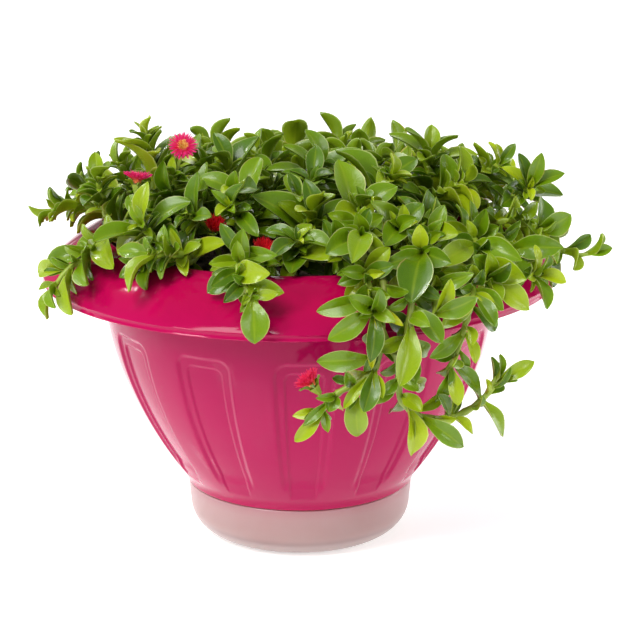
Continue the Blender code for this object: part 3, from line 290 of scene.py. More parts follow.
LEAF_STATIONS = (0.0, 0.12, 0.24, 0.36, 0.47, 0.58, 0.69, 0.79, 0.87, 0.93, 0.97)
LEAF_UPPER = (1, 0.76, 0.42, 0, -0.42, -0.76, -1)
LEAF_UNDER = (-0.86, -0.45, 0, 0.45, 0.86)
SLIM_LENGTH = 15.0
# Petals, share of the reach, degrees steeper than the outermost layer, width
PETAL_LAYERS = ((38, 1.0, 0, 0.85), (34, 0.9, 11, 0.8), (28, 0.76, 25, 0.75), (18, 0.58, 42, 0.7))
EYE_PETALS = 70
# What a material reads where a shape gives no value of its own
PLAIN_VALUES = {"along": 0.0, "across": 0.0, "tone": 0.5, "under": 0.0}

# Name: (place, height that it is aimed at, size, watts)
SOFT_BOXES = {
    "box_left": ((-0.9, -0.8, 0.75), 0.12, (0.3, 0.3), 6),
    "window_one": ((-0.77, 0.44, 0.98), 0.16, (0.05, 0.05), 1.5),
    "window_two": ((-0.73, 0.33, 1.06), 0.16, (0.04, 0.04), 1.2),
    "box_right": ((1.1, -0.8, 0.6), 0.12, (0.4, 0.6), 5),
    "back_top": ((-0.2, 1.1, 1.0), 0.18, (1.4, 0.5), 8),
    "rim_left": ((-1.5, 0.5, 0.35), 0.1, (1.0, 0.7), 4.5),
    "rim_right": ((1.5, 0.5, 0.35), 0.1, (1.0, 0.7), 10),
}
SKY_STRENGTH = 0.31
SUN_STRENGTH = 2.45
SUN_BREADTH = math.radians(30)
SUN_TURN = (math.radians(36), 0, math.radians(-38))
FLOOR_REACH = 12.0
CAMERA_PLACE = (0.0104, -1.088, 0.412)
CAMERA_TURN = (math.radians(74.5), 0, 0)
SENSOR = 36
FOCAL_PIXELS = 2200
PHOTO_PIXELS = 640


# Rules shared with the solids
def smoothstep(value):
    value = min(max(value, 0.0), 1.0)
    return value * value * (3 - 2 * value)


def around(radius, angle):
    return radius * math.cos(angle), radius * math.sin(angle)


def swung(first, second, angle):
    """Direction at an angle from the first of two square directions towards the second."""
    return first * math.cos(angle) + second * math.sin(angle)


def ring_faces(count, rings, caps=True):
    """Faces between neighbouring rings of points, and over the first and the last ring."""
    faces = []
    for k in range(rings - 1):
        for j in range(count):
            a, b = count * k + j, count * k + (j + 1) % count
            faces.append((a, b, b + count, a + count))
    if caps:
        last = count * (rings - 1)
        faces += [tuple(range(count))[::-1], tuple(range(last, last + count))]
    return faces


def turned(profile, sides):
    """Points and faces of a profile of (radius, z) turned about Z. Radius 0 closes at the axis."""
    points, rings, faces = [], [], []
    for radius, z in profile:
        count = sides if radius > 0 else 1
        rings.append([len(points) + k for k in range(count)])
        points += [(*around(radius, 2 * math.pi * k / sides), z) for k in range(count)]
    for first, second in zip(rings, rings[1:]):
        for k in range(sides):
            face = (first[k % len(first)], first[(k + 1) % len(first)],
                    second[(k + 1) % len(second)], second[k % len(second)])
            faces.append(list(dict.fromkeys(face)))
    return points, faces


def bowl_radius(z):
    """Outer radius of the bowl from its foot up: a round belly that ends in an upright shoulder."""
    t = (z - POT_FOOT_Z) / (SHOULDER_Z - POT_FOOT_Z)
    swell = math.sin(math.pi / 2 * min(t, 1.0)) ** SHOULDER_POWER
    return POT_FOOT_RADIUS + (BODY_RADIUS - POT_FOOT_RADIUS) * swell


def bowl_inside(z):
    """Inner radius of the bowl; it is upright above the shoulder."""
    return min(bowl_radius(z) - WALL, INSIDE_RADIUS)


def brim_height(radius):
    """Top of the convex brim at a radius between its inner edge and its lip."""
    t = (radius - BRIM_TOP_RADIUS) / BRIM_WIDTH
    t = min(max(t, 0.0), 1.0)
    return LIP_TOP_Z + (BRIM_TOP_Z - LIP_TOP_Z) * (1 - t ** BRIM_ROUNDNESS)


def soil_height(x, y):
    distance = math.hypot(x, y) / bowl_inside(SOIL_EDGE_Z)
    return SOIL_EDGE_Z + SOIL_CROWN * (1 - distance * distance)


def soil_profile(edge, radii):
    """From the pot's floor up along its wall to the edge, then over the low crown."""
    low = POT_FOOT_Z + WALL + TOUCH_GAP
    profile = [(0, low), (POT_FOOT_RADIUS - 4, low)]
    profile += [(bowl_inside(z) - 2 * TOUCH_GAP, z) for z in (*INSIDE_HEIGHTS[::-1], edge)]
    return profile + [(r, soil_height(r, 0)) for r in radii]


def curve_through(points, steps):
    """Points evenly spaced in parameter on a smooth curve through the given points."""
    knots = [points[0] * 2 - points[1]] + points + [points[-1] * 2 - points[-2]]
    result = []
    spans = len(points) - 1
    for k in range(steps + 1):
        place = min(k / steps * spans, spans - 1e-9)
        span = int(place)
        t = place - span
        a, b, c, d = knots[span:span + 4]
        result.append(0.5 * (2 * b + (c - a) * t + (2 * a - 5 * b + 4 * c - d) * t * t
                             + (3 * b - a - 3 * c + d) * t ** 3))
    return result


def along(path, station):
    """Point and direction at a station from 0 to 1 of a path's length."""
    lengths = [(b - a).length for a, b in zip(path, path[1:])]
    rest = station * sum(lengths)
    for a, b, length in zip(path, path[1:], lengths):
        if rest <= length or b is path[-1]:
            return a.lerp(b, min(rest / length, 1.0)), (b - a).normalized()
        rest -= length


def clear_of_pot(point, margin):
    """Lift a point off the brim, or move it outside the lip."""
    radius = math.hypot(point.x, point.y)
    if radius <= BRIM_RADIUS - 6:
        if radius > ROOT_REACH + 6:
            point.z = max(point.z, brim_height(radius) + margin)
    elif point.z < brim_height(radius) + margin + 4 and radius < BRIM_RADIUS + margin:
        scale = (BRIM_RADIUS + margin) / radius
        point.x *= scale
        point.y *= scale
    return point


def stem_path(root, points, steps):
    """From the bottom of the root's hole straight up, then smoothly through the given points."""
    surface = soil_height(*root)
    free = [clear_of_pot(Vector(point), STEM_RADIUS + 1.2) for point in points]
    if math.hypot(free[0].x, free[0].y) > ROOT_REACH + 6:
        free.insert(0, Vector((root[0] * 1.02, root[1] * 1.02, BRIM_TOP_Z + STEM_RADIUS + 1)))
    path = curve_through([Vector((*root, surface + 2))] + free, steps)
    for point in path[2:]:
        clear_of_pot(point, STEM_RADIUS + 0.9)
    return [Vector((*root, surface - ROOT_DEPTH))] + path


def tube(path, radius, tip_radius, sides):
    """Closed tube along a path, tapering evenly to its tip."""
    points = []
    across = None
    for k, centre in enumerate(path):
        ahead = (path[min(k + 1, len(path) - 1)] - path[max(k - 1, 0)]).normalized()
        if across is None:
            across = ahead.orthogonal().normalized()
        across = (across - ahead * across.dot(ahead)).normalized()
        beside = ahead.cross(across)
        size = radius + (tip_radius - radius) * k / (len(path) - 1)
        points += [centre + swung(across, beside, 2 * math.pi * j / sides) * size for j in range(sides)]
    return points, ring_faces(sides, len(path))


def half_width(t, width, widest, foot, swell, taper, close):
    """Outline of a spoon-shaped leaf: a narrow foot, the greatest width past the middle, a blunt end."""
    if t < widest:
        share = foot + (1 - foot) * smoothstep(t / widest) ** swell
    else:
        share = (1 - ((t - widest) / (1 - widest)) ** taper) ** close
    return width / 2 * share


def leaf_frame(base, tip, upper, bow, t):
    """Centre, sideways and upward directions at t along a leaf that arches towards its upper side."""
    chord = tip - base
    lift = (upper - chord * upper.dot(chord) / chord.length_squared).normalized() * chord.length * bow
    bend = (base + tip) / 2 + lift * 2
    centre = base.lerp(bend, t).lerp(bend.lerp(tip, t), t)
    ahead = ((bend - base) * (1 - t) + (tip - bend) * t).normalized()
    side = ahead.cross(lift).normalized()
    return centre, side, side.cross(ahead)


def leaf(base, tip, upper, width, stations, grow):
    """Fleshy channelled leaf: a root point sunk in the stem, rings of four points and a pointed tip."""
    reach = (tip - base).normalized()
    thick = min(LEAF_THICKNESS, 0.55 + (tip - base).length * 0.09) + grow
    points, faces = [base - reach * LEAF_SUNK], [(0, 2, 1), (0, 3, 2), (0, 4, 3), (0, 1, 4)]
    for t in stations:
        centre, side, up = leaf_frame(base, tip, upper, LEAF_BOW, t)
        half = half_width(t, width, WIDEST_AT, LEAF_ROOT_WIDTH, 1, 1.8, 0.8) + grow
        channel = up * half * 2 * LEAF_CHANNEL
        depth = thick * (1 - 0.35 * t)
        points += [centre + side * half + channel, centre + up * grow, centre - side * half + channel,
                   centre - up * depth]
    rings = len(stations)
    for k in range(rings - 1):
        for j in range(4):
            a, b = 1 + 4 * k + j, 1 + 4 * k + (j + 1) % 4
            c, d = b + 4, a + 4
            faces += [(a, b, d), (b, c, d)] if j in (0, 3) else [(a, b, c), (a, c, d)]
    last = 1 + 4 * (rings - 1)
    faces += [(last + j, last + (j + 1) % 4, len(points)) for j in range(4)]
    return points + [tip + reach * grow], faces


class Garden:
    """Keeps what has been placed, so that the next leaf is set clear of it."""

    def __init__(self):
        self.bodies = []

    @staticmethod
    def tree(points, faces):
        return BVHTree.FromPolygons([Vector(point) for point in points], faces)

    def add(self, owner, shape, free_end=None):
        """Keep a shape, and for its own plant only the part of it that is free of the stem."""
        self.bodies.append((owner, self.tree(*shape), self.tree(*(free_end or shape))))

    def forget(self, owner):
        self.bodies = [body for body in self.bodies if body[0] != owner]

    def crosses(self, owner, shape, free_end=None, ignore=None):
        whole, free = self.tree(*shape), self.tree(*(free_end or shape))
        return any(free.overlap(placed_free) if body == owner else whole.overlap(placed)
                   for body, placed, placed_free in self.bodies if body != ignore)


def upper_side(base, ahead, outward, reach):
    """Where a leaf turns its upper side: to its shoot's tip and to the light, which for a leaf that
    hangs below the brim comes from outside."""
    hang = smoothstep((HANG_TOP_Z - base.z) / HANG_DROP)
    away = Vector((base.x, base.y, 0)).normalized()
    light = (away * (LIGHT_AWAY + hang) + Vector((0, 0, 1 - hang / 2))).normalized()
    course = reach.normalized()
    face = ahead if abs(course.dot(ahead)) < 0.9 else -outward.normalized()
    turned_to = face.lerp(light, LIGHT_PULL + HANG_PULL * hang)
    across = turned_to - course * turned_to.dot(course)
    return across.normalized() if across.length > 0.2 else face


def place_leaf(garden, owner, path, station, tip, width, rings=SMALL_RINGS, **marks):
    """Set one leaf on its stem, trying other holds where it would cross another body."""
    base, ahead = along(path, min(station, LAST_STATION))
    reach = tip - base
    outward = reach - ahead * reach.dot(ahead)
    if outward.length < 0.2 * reach.length:
        outward = ahead.orthogonal() * reach.length
    hinge = ahead.cross(outward).normalized()
    upper = upper_side(base, ahead, outward, reach)
    for turn, lift, size in TRIALS:
        spin = Quaternion(ahead, math.radians(turn))
        end = base + (spin @ Quaternion(hinge, -math.radians(lift))) @ (reach * size)
        up = spin @ upper
        breadth = width * (0.4 + 0.6 * size)
        feet = (base, base + (end - base).normalized() * LEAF_COLLAR)
        wide, slim = ([leaf(foot, end, up, breadth, rings, margin) for foot in feet]
                      for margin in (LEAF_CLEARANCE, 0.0))
        if not garden.crosses(owner, *wide):
            garden.add(owner, *slim)
            return {"base": base, "tip": end, "upper": up, "width": breadth, "knot": 0.5, "old": 0.0,
                    **marks}
    return None


def set_leaves(garden, name, plant, leaves, least=0.0):
    """Leaves that show their own place: (station, x, y, z, width) and perhaps how old from 0 to 1."""
    for station, x, y, z, width, *old in leaves:
        tip = Vector((x, y, z))
        rings = LARGE_RINGS if width > SMALL_WIDTH else SMALL_RINGS
        width = max(width, (tip - along(plant["path"], station)[0]).length * least)
        marks = {"knot": station, "old": old[0]} if old else {}
        placed = place_leaf(garden, name, plant["path"], station, tip, width, rings, **marks)
        if placed:
            plant["leaves"].append(placed)


def choose_root(x, y, roots):
    """A free place in the soil under a point, at least one spacing from every other root."""
    scale = min(1.0, ROOT_REACH / max(math.hypot(x, y), 1e-6))
    start = Vector((x * scale, y * scale))
    for ring in range(12):
        count = max(1, 6 * ring)
        for k in range(count):
            spot = start + Vector(around(1, 2 * math.pi * k / count)) * ring * ROOT_SPACING * 0.6
            if spot.length <= ROOT_REACH and all((spot - Vector(r)).length >= ROOT_SPACING for r in roots):
                return (round(spot.x, 2), round(spot.y, 2))
    return None


def shown_plants(garden, roots):
    """The stems that show their own place, every one with its listed leaves."""
    plants = {}
    for name, (points, _) in SHOWN_STEMS.items():
        root = choose_root(points[0][0], points[0][1], roots)
        roots.append(root)
        path = stem_path(root, points, len(points) + 1)
        plants[name] = {"path": path, "leaves": []}
        garden.add(name, tube(path, STEM_RADIUS + 0.2, STEM_TIP_RADIUS, STEM_SIDES))
        for shape in stalk_shapes(name, path):
            garden.add(name, shape)
    for name, (_, leaves) in SHOWN_STEMS.items():
        set_leaves(garden, name, plants[name], leaves, LEAF_LEAST_WIDTH)
    return plants


def golden_tip(place, count, reach, phase, lift):
    """Tip of one of the shoots that are spread evenly over the pot by the golden angle."""
    tip = Vector((*around(reach * math.sqrt((place + 0.5) / count), place * GOLDEN_ANGLE + phase), 0))
    distance = math.hypot(tip.x, tip.y) / (MOUND_RADIUS * 1.12)
    tip.z = MOUND_BASE_Z + MOUND_RISE * max(1 - distance * distance, 0.0) ** 0.8 + lift
    return tip


def grow(garden, name, root, tip, radius, fewest, leaves_on):
    """Shoot from its root to its tip, or None where it or its fewest leaves find no room."""
    middle = Vector((*root, 0)).lerp(tip, 0.4)
    middle.z = soil_height(*root) + (tip.z - soil_height(*root)) * 0.7
    path = stem_path(root, [middle, tip], 3)
    shape = tube(path, radius, STEM_TIP_RADIUS, STEM_SIDES)
    if garden.crosses(name, shape, ignore="soil"):
        return None
    leaves = leaves_on(path)
    if len(leaves) < fewest:
        garden.forget(name)
        return None
    garden.add(name, shape)
    return {"path": path, "leaves": leaves}


def leaf_pairs(path, draw, pairs, swing, shortest, longest):
    """Station, tip and length of each leaf of crosswise pairs, given as (station, degrees off the stem,
    length). A pair that would lie in the soil is left out."""
    turn = draw.uniform(0, math.pi)
    for order, (station, spread, size) in enumerate(pairs):
        base, ahead = along(path, min(station, LAST_STATION))
        if base.z < SOIL_EDGE_Z + 4 and math.hypot(base.x, base.y) < ROOT_REACH + 8:
            continue
        across = Quaternion(ahead, turn + order * math.pi / 2) @ ahead.orthogonal().normalized()
        for sign in (1, -1):
            angle = math.radians(spread + draw.uniform(-swing, swing))
            length = size * draw.uniform(shortest, longest)
            yield station, base + swung(ahead, across * sign, angle) * length, length


def filler_plants(garden, roots):
    """Rooted stems spread over the pot, each with its pairs of leaves."""
    draw = random.Random(FILLER_SEED)

    def leaves_on(path):
        placed = [place_leaf(garden, name, path, station, end, length * 0.56)
                  for station, end, length in leaf_pairs(path, draw, SHOOT_PAIRS, 9, 0.88, 1.12)]
        return [item for item in placed if item]

    plants = {}
    for turn in range(FILLER_PLACES):
        tip = golden_tip(turn * FILLER_STRIDE % FILLER_PLACES, FILLER_PLACES, MOUND_RADIUS, 0,
                         draw.uniform(-5, 4))
        root = choose_root(tip.x * 0.7, tip.y * 0.7, roots)
        if tip.y < FILLER_FRONT or root is None:
            continue
        name = "stem_filler_%02d" % (len(plants) + 1)
        plant = grow(garden, name, root, tip, STEM_RADIUS + 0.3, 4, leaves_on)
        if plant:
            roots.append(root)
            plants[name] = plant
        if len(plants) == FILLER_STEMS:
            break
    return plants


def bloom_frame(facing):
    ahead = Vector(facing).normalized()
    across = ahead.orthogonal().normalized()
    return ahead, across, ahead.cross(across)


def bloom_space(centre, facing):
    """The room that a bloom needs, as a cone that opens the way it faces."""
    ahead = Vector(facing).normalized()
    return tube([Vector(centre) + ahead * k for k in (-2.6, -1.5, 4)], 2.5, 8.2, 8)


def stalk_shapes(name, path):
    """Green stalk and cup of the bloom that a stem carries, up to just under its petals."""
    shapes = []
    for carrier, station, centre, facing, _, _ in BLOOMS.values():
        if carrier == name:
            ahead = Vector(facing).normalized()
            seat = Vector(centre) - ahead * (BLOOM_CORE + TOUCH_GAP)
            base, _ = along(path, min(station, LAST_STATION))
            route = curve_through([base, seat - ahead * STALK_BEND, seat], 5)
            calyx = [seat - ahead * CALYX_LENGTH, seat - ahead * CALYX_LENGTH / 2, seat]
            shapes += [tube(route[:-1], STALK_RADIUS, STALK_RADIUS, STEM_SIDES),
                       tube(calyx, STALK_RADIUS + 0.1, CALYX_RADIUS, 6)]
    return shapes


# Finer forms
class Form:
    """Collects closed shapes of one piece, with the numbers that its material reads."""

    def __init__(self):
        self.points, self.faces, self.looks = [], [], []
        self.values = {name: [] for name in PLAIN_VALUES}

    def add(self, points, faces, look=0, **values):
        """Add a shape. A value is one number, or a list of one for each point."""
        first = len(self.points)
        self.points += [Vector(p) for p in points]
        self.faces += [tuple(first + k for k in face) for face in faces]
        self.looks += [look] * len(faces)
        for name, kept in self.values.items():
            value = values.get(name, PLAIN_VALUES[name])
            kept += value if isinstance(value, list) else [value] * len(points)

    def make(self, name, materials, smooth_angle=50):
        mesh = bpy.data.meshes.new(name)
        mesh.from_pydata([tuple(c * MM for c in p) for p in self.points], [], self.faces)
        for look in materials:
            mesh.materials.append(look)
        mesh.polygons.foreach_set("material_index", self.looks)
        for key, value in self.values.items():
            mesh.attributes.new("leaf_" + key, "FLOAT", "POINT").data.foreach_set("value", value)
        work = bmesh.new()
        work.from_mesh(mesh)
        bmesh.ops.recalc_face_normals(work, faces=work.faces)
        work.to_mesh(mesh)
        work.free()
        mesh.shade_smooth()
        mesh.set_sharp_from_angle(angle=math.radians(smooth_angle))
        made = linked(name, mesh)
        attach(made, BODY)
        return made


def linked(name, data):
    made = bpy.data.objects.new(name, data)
    bpy.context.scene.collection.objects.link(made)
    return made


def fine_leaf(form, placed, draw, tone):
    """Fleshy leaf: a channelled upper side, a full lower side, a rounded margin and a small point."""
    base, tip, upper = placed["base"], placed["tip"], placed["upper"]
    reach = tip - base
    slim = max(0.0, 1 - reach.length / SLIM_LENGTH)
    width = placed["width"] * draw.uniform(0.74, 0.98) * (1 - 0.25 * slim)
    blunt = max(0.0, draw.uniform(0.0, 0.45) - slim)
    outline = WIDEST_AT + 0.05 * blunt, 0.22, 1.0 + 0.25 * blunt, 1.75 + 0.5 * blunt, 0.8 - 0.24 * blunt
    thick = min(LEAF_THICKNESS, 0.6 + reach.length * 0.09)
    bow = LEAF_BOW + draw.uniform(-0.05, 0.08)
    cup = draw.uniform(0.28, 0.72)
    wave, phase = draw.uniform(0.2, 0.8), draw.uniform(0, 6.28)
    points = []
    for t in LEAF_STATIONS:
        centre, side, up = leaf_frame(base, tip, upper, bow, t)
        half = half_width(t, width, *outline)
        deep = thick * (1 - 0.5 * t) * min(1.0, 0.6 + 1.5 * t)
        fold = cup * (1.35 - 0.75 * t)
        for s in LEAF_UPPER:
            lift = half * fold * abs(s) ** 1.6 - 0.2 * deep * math.exp(-(s / 0.2) ** 2)
            lift += wave * abs(s) ** 3 * math.sin(7 * t + phase + (2 if s > 0 else 0))
            points.append(centre + side * half * s + up * lift)
        for s in LEAF_UNDER:
            lift = half * fold * abs(s) ** 1.6 - deep * (1 - 0.92 * s * s) ** 0.8
            points.append(centre + side * half * s * 0.98 + up * lift)
    ring, rings = len(LEAF_UPPER) + len(LEAF_UNDER), len(LEAF_STATIONS)
    last, end = ring * (rings - 1), ring * rings
    faces = ring_faces(ring, rings)[:-1] + [(last + j, last + (j + 1) % ring, end) for j in range(ring)]
    up = leaf_frame(base, tip, upper, bow, 1.0)[2]
    points.append(tip + reach.normalized() * 0.2 + up * 0.1)
    form.add(points, faces, along=[t for t in LEAF_STATIONS for _ in range(ring)] + [1.0],
             across=[*LEAF_UPPER, *LEAF_UNDER] * rings + [1.0], tone=tone + placed.get("old", 0.0) * 2.0,
             under=([0.0] * len(LEAF_UPPER) + [1.0] * len(LEAF_UNDER)) * rings + [0.0])


def fine_stem(form, path, knots, draw):
    """Round stem that thickens a little where its leaves sit."""
    fine = curve_through(path, (len(path) - 1) * 5)
    tone = draw.uniform(0.2, 0.9)
    sides, total = 8, len(fine) - 1
    points, faces = tube(fine, 1.0, 1.0, sides)
    for k, centre in enumerate(fine):
        place = k / total
        size = STEM_RADIUS + (STEM_TIP_RADIUS - 0.25 - STEM_RADIUS) * place
        size *= 1 + 0.28 * sum(math.exp(-((place - knot) / 0.018) ** 2) for knot in knots)
        for index in range(sides * k, sides * k + sides):
            points[index] = centre + (points[index] - centre) * size
    form.add(points, faces, 1, along=[k / total for k in range(total + 1) for _ in range(sides)], tone=tone)


def add_plant(form, plant, draw, light_shade_shift):
    for item in plant["leaves"]:
        # The shift paints light on the outer stems and shade on the inner shoots.
        fine_leaf(form, item, draw, min(max(draw.gauss(0.5 + light_shade_shift, 0.2), 0.02), 0.98))
    fine_stem(form, plant["path"], [item["knot"] for item in plant["leaves"]], draw)


# Materials
class Look:
    """A procedural material while it is made."""

    def __init__(self, name):
        self.made = bpy.data.materials.new(name)
        self.made.use_nodes = True
        self.tree = self.made.node_tree

    def feed(self, target, inputs):
        for key, value in inputs.items():
            socket = target.inputs[key]
            if isinstance(value, bpy.types.NodeSocket):
                self.tree.links.new(value, socket)
            else:
                socket.default_value = (*value, 1) if socket.type == "RGBA" else value

    def node(self, kind, inputs=None, **settings):
        made = self.tree.nodes.new("ShaderNode" + kind)
        for key, value in settings.items():
            setattr(made, key, value)
        self.feed(made, inputs or {})
        return made

    def value(self, name):
        return self.node("Attribute", attribute_name="leaf_" + name).outputs["Fac"]

    def place(self):
        return self.node("TexCoord").outputs["Object"]

    def height(self):
        return self.node("SeparateXYZ", {"Vector": self.place()}).outputs["Z"]

    def noise(self, scale, detail=3.0, rough=0.5):
        return self.node("TexNoise", {"Vector": self.place(), "Scale": scale, "Detail": detail,
                                      "Roughness": rough}).outputs["Fac"]

    def math(self, operation, a, b=0.0):
        return self.node("Math", {0: a, 1: b}, operation=operation).outputs[0]

    def rough_grain(self, fine, share, broad):
        return self.math("ADD", self.math("MULTIPLY", fine, share), broad)

    def spread(self, value, first, last, low, high, kind="LINEAR"):
        """A value's range from first to last, spread from low to high."""
        return self.node("MapRange", {"Value": value, "From Min": first, "From Max": last, "To Min": low,
                                      "To Max": high}, interpolation_type=kind).outputs[0]

    def ramp(self, value, *stops):
        made = self.node("ValToRGB", {"Fac": value})
        elements = made.color_ramp.elements
        while len(elements) < len(stops):
            elements.new(0.5)
        for element, (place, color) in zip(elements, stops):
            element.position = place
            element.color = (*color, 1)
        return made.outputs["Color"]

    def mix(self, color, amount, other):
        return self.node("Mix", {0: amount, 6: color, 7: other}, data_type="RGBA").outputs[2]

    def tint(self, color, amount, share, other):
        return self.mix(color, self.math("MULTIPLY", amount, share), other)

    def finish(self, inputs, height=None, strength=0.0, distance=0.0):
        if height:
            bump = self.node("Bump", {"Height": height, "Strength": strength, "Distance": distance})
            inputs["Normal"] = bump.outputs["Normal"]
        self.feed(self.tree.nodes["Principled BSDF"], inputs)
        return self.made


def leaf_material():
    look = Look("fleshy_leaf")
    across = look.math("ABSOLUTE", look.value("across"))
    green = look.ramp(
        look.math("MULTIPLY", look.value("tone"), 0.3333), (0.0, (0.018, 0.058, 0.001)),
        (0.10, (0.050, 0.128, 0.001)), (0.20, (0.128, 0.232, 0.001)), (0.33, (0.360, 0.445, 0.006)),
        (0.60, (0.62, 0.42, 0.012)), (0.95, (0.75, 0.16, 0.010)))
    green = look.tint(green, look.noise(90, 2), 0.30, (0.19, 0.29, 0.004))
    root = look.spread(look.value("along"), 0.05, 0.4, 0.45, 0.0)
    green = look.mix(green, root, (0.32, 0.43, 0.010))
    green = look.tint(green, look.value("under"), 0.45, (0.17, 0.23, 0.010))
    # Margin colour: the leaf's own pale and reddish edge, lightened as a painted glow of light shining
    # through the thin margin.
    margin = look.spread(across, 0.91, 1.0, 0.0, 0.48, "SMOOTHSTEP")
    edge = look.ramp(look.noise(45, 1), (0.55, (0.62, 0.68, 0.26)), (0.74, (0.62, 0.30, 0.10)))
    green = look.mix(green, margin, edge)
    green = look.mix(green, look.spread(across, 0.02, 0.14, 0.24, 0.0), (0.34, 0.42, 0.02))
    height = look.rough_grain(look.noise(1400, 2, 0.6), 0.4, look.noise(160, 3))
    return look.finish({
        "Base Color": green, "Roughness": look.spread(look.noise(400, 2), 0, 1, 0.24, 0.42),
        "Subsurface Weight": 0.12, "Subsurface Radius": (0.6, 1.0, 0.15), "Subsurface Scale": 0.0025,
        "Specular IOR Level": 0.22, "Coat Weight": 0.3, "Coat Roughness": 0.16}, height, 0.5, 0.0008)


def stem_material():
    look = Look("green_stem")
    color = look.ramp(look.value("along"), (0.0, (0.12, 0.08, 0.03)), (0.3, (0.15, 0.18, 0.02)),
                      (0.6, (0.22, 0.32, 0.02)), (1.0, (0.32, 0.44, 0.035)))
    color = look.tint(color, look.noise(220, 3), 0.4, (0.18, 0.20, 0.03))
    return look.finish({"Base Color": color, "Roughness": 0.45, "Subsurface Weight": 0.15,
                        "Subsurface Scale": 0.002}, look.noise(500, 3), 0.3, 0.0004)


def petal_material():
    look = Look("petal_red")
    color = look.ramp(look.value("along"), (0.0, (0.92, 0.30, 0.04)), (0.25, (0.86, 0.06, 0.06)),
                      (0.6, (0.70, 0.008, 0.10)), (1.0, (0.70, 0.015, 0.20)))
    color = look.tint(color, look.value("tone"), 0.3, (0.86, 0.08, 0.32))
    color = look.tint(color, look.value("under"), 0.95, (0.58, 0.008, 0.010))
    return look.finish({"Base Color": color, "Roughness": 0.5, "Subsurface Weight": 0.2,
                        "Subsurface Scale": 0.001, "Specular IOR Level": 0.2},
                       look.noise(2500, 2), 0.2, 0.0002)


def stamen_material():
    look = Look("stamen_yellow")
    color = look.ramp(look.value("along"), (0.0, (0.85, 0.30, 0.03)), (0.6, (0.92, 0.50, 0.05)),
                      (1.0, (0.98, 0.78, 0.25)))
    color = look.tint(color, look.noise(900), 0.3, (0.9, 0.6, 0.2))
    return look.finish({"Base Color": color, "Roughness": 0.6})


def pot_material():
    look = Look("pink_plastic")
    # Painted shade and painted reflection: from just under the brim upwards the colour turns a deeper, less
    # blue red, standing in for the shade under the brim and the foliage reflected in its top; the pot is one
    # plastic.
    color = look.mix((0.345, 0.001, 0.068), look.spread(look.height(), 0.128, 0.150, 0, 1),
                     (0.375, 0.001, 0.050))
    # Painted shade: a redder tone near the foot, where the bowl turns under onto the saucer.
    color = look.mix(color, look.spread(look.height(), 0.0275, 0.036, 0.6, 0.0), (0.36, 0.003, 0.06))
    color = look.tint(color, look.noise(22, 2), 0.25, (0.46, 0.002, 0.085))
    height = look.rough_grain(look.noise(700, 2), 0.06, look.noise(14, 2))
    rough = look.spread(look.noise(60, 4, 0.6), 0, 1, 0.06, 0.11)
    return look.finish({"Base Color": color, "Roughness": rough, "Specular IOR Level": 0.18},
                       height, 0.25, 0.0012)


def saucer_material():
    look = Look("milky_plastic")
    # Colour by height: darker where the rounded foot turns under (painted shade), a painted dark band at
    # about 8 mm for the shade of the inner floor showing through the milky wall, and pinker towards the rim.
    color = look.ramp(
        look.spread(look.height(), 0, 0.028, 0, 1), (0.0, (0.29, 0.20, 0.19)), (0.22, (0.34, 0.24, 0.23)),
        (0.30, (0.26, 0.16, 0.16)), (0.38, (0.33, 0.20, 0.19)), (0.8, (0.36, 0.19, 0.19)),
        (1.0, (0.36, 0.12, 0.15)))
    color = look.tint(color, look.noise(40, 3), 0.3, (0.46, 0.38, 0.37))
    return look.finish({
        "Base Color": color, "Roughness": 0.33, "Subsurface Weight": 0.5,
        "Subsurface Radius": (1.0, 0.7, 0.6), "Subsurface Scale": 0.008, "Coat Weight": 0.2},
        look.noise(30, 3), 0.2, 0.0008)


def soil_material():
    look = Look("potting_soil")
    color = look.ramp(look.noise(260, 5, 0.65), (0.3, (0.012, 0.008, 0.005)), (0.52, (0.055, 0.034, 0.020)),
                      (0.72, (0.13, 0.085, 0.05)))
    return look.finish({"Base Color": color, "Roughness": 0.95}, look.noise(420, 5, 0.7), 0.9, 0.0015)


def floor_material():
    look = Look("pale_floor")
    color = look.tint((0.90, 0.90, 0.89), look.noise(3, 2), 0.2, (0.88, 0.88, 0.88))
    return look.finish({"Base Color": color, "Roughness": 0.12, "Specular IOR Level": 0.5,
                        "Emission Color": (1, 1, 1), "Emission Strength": 0.50})


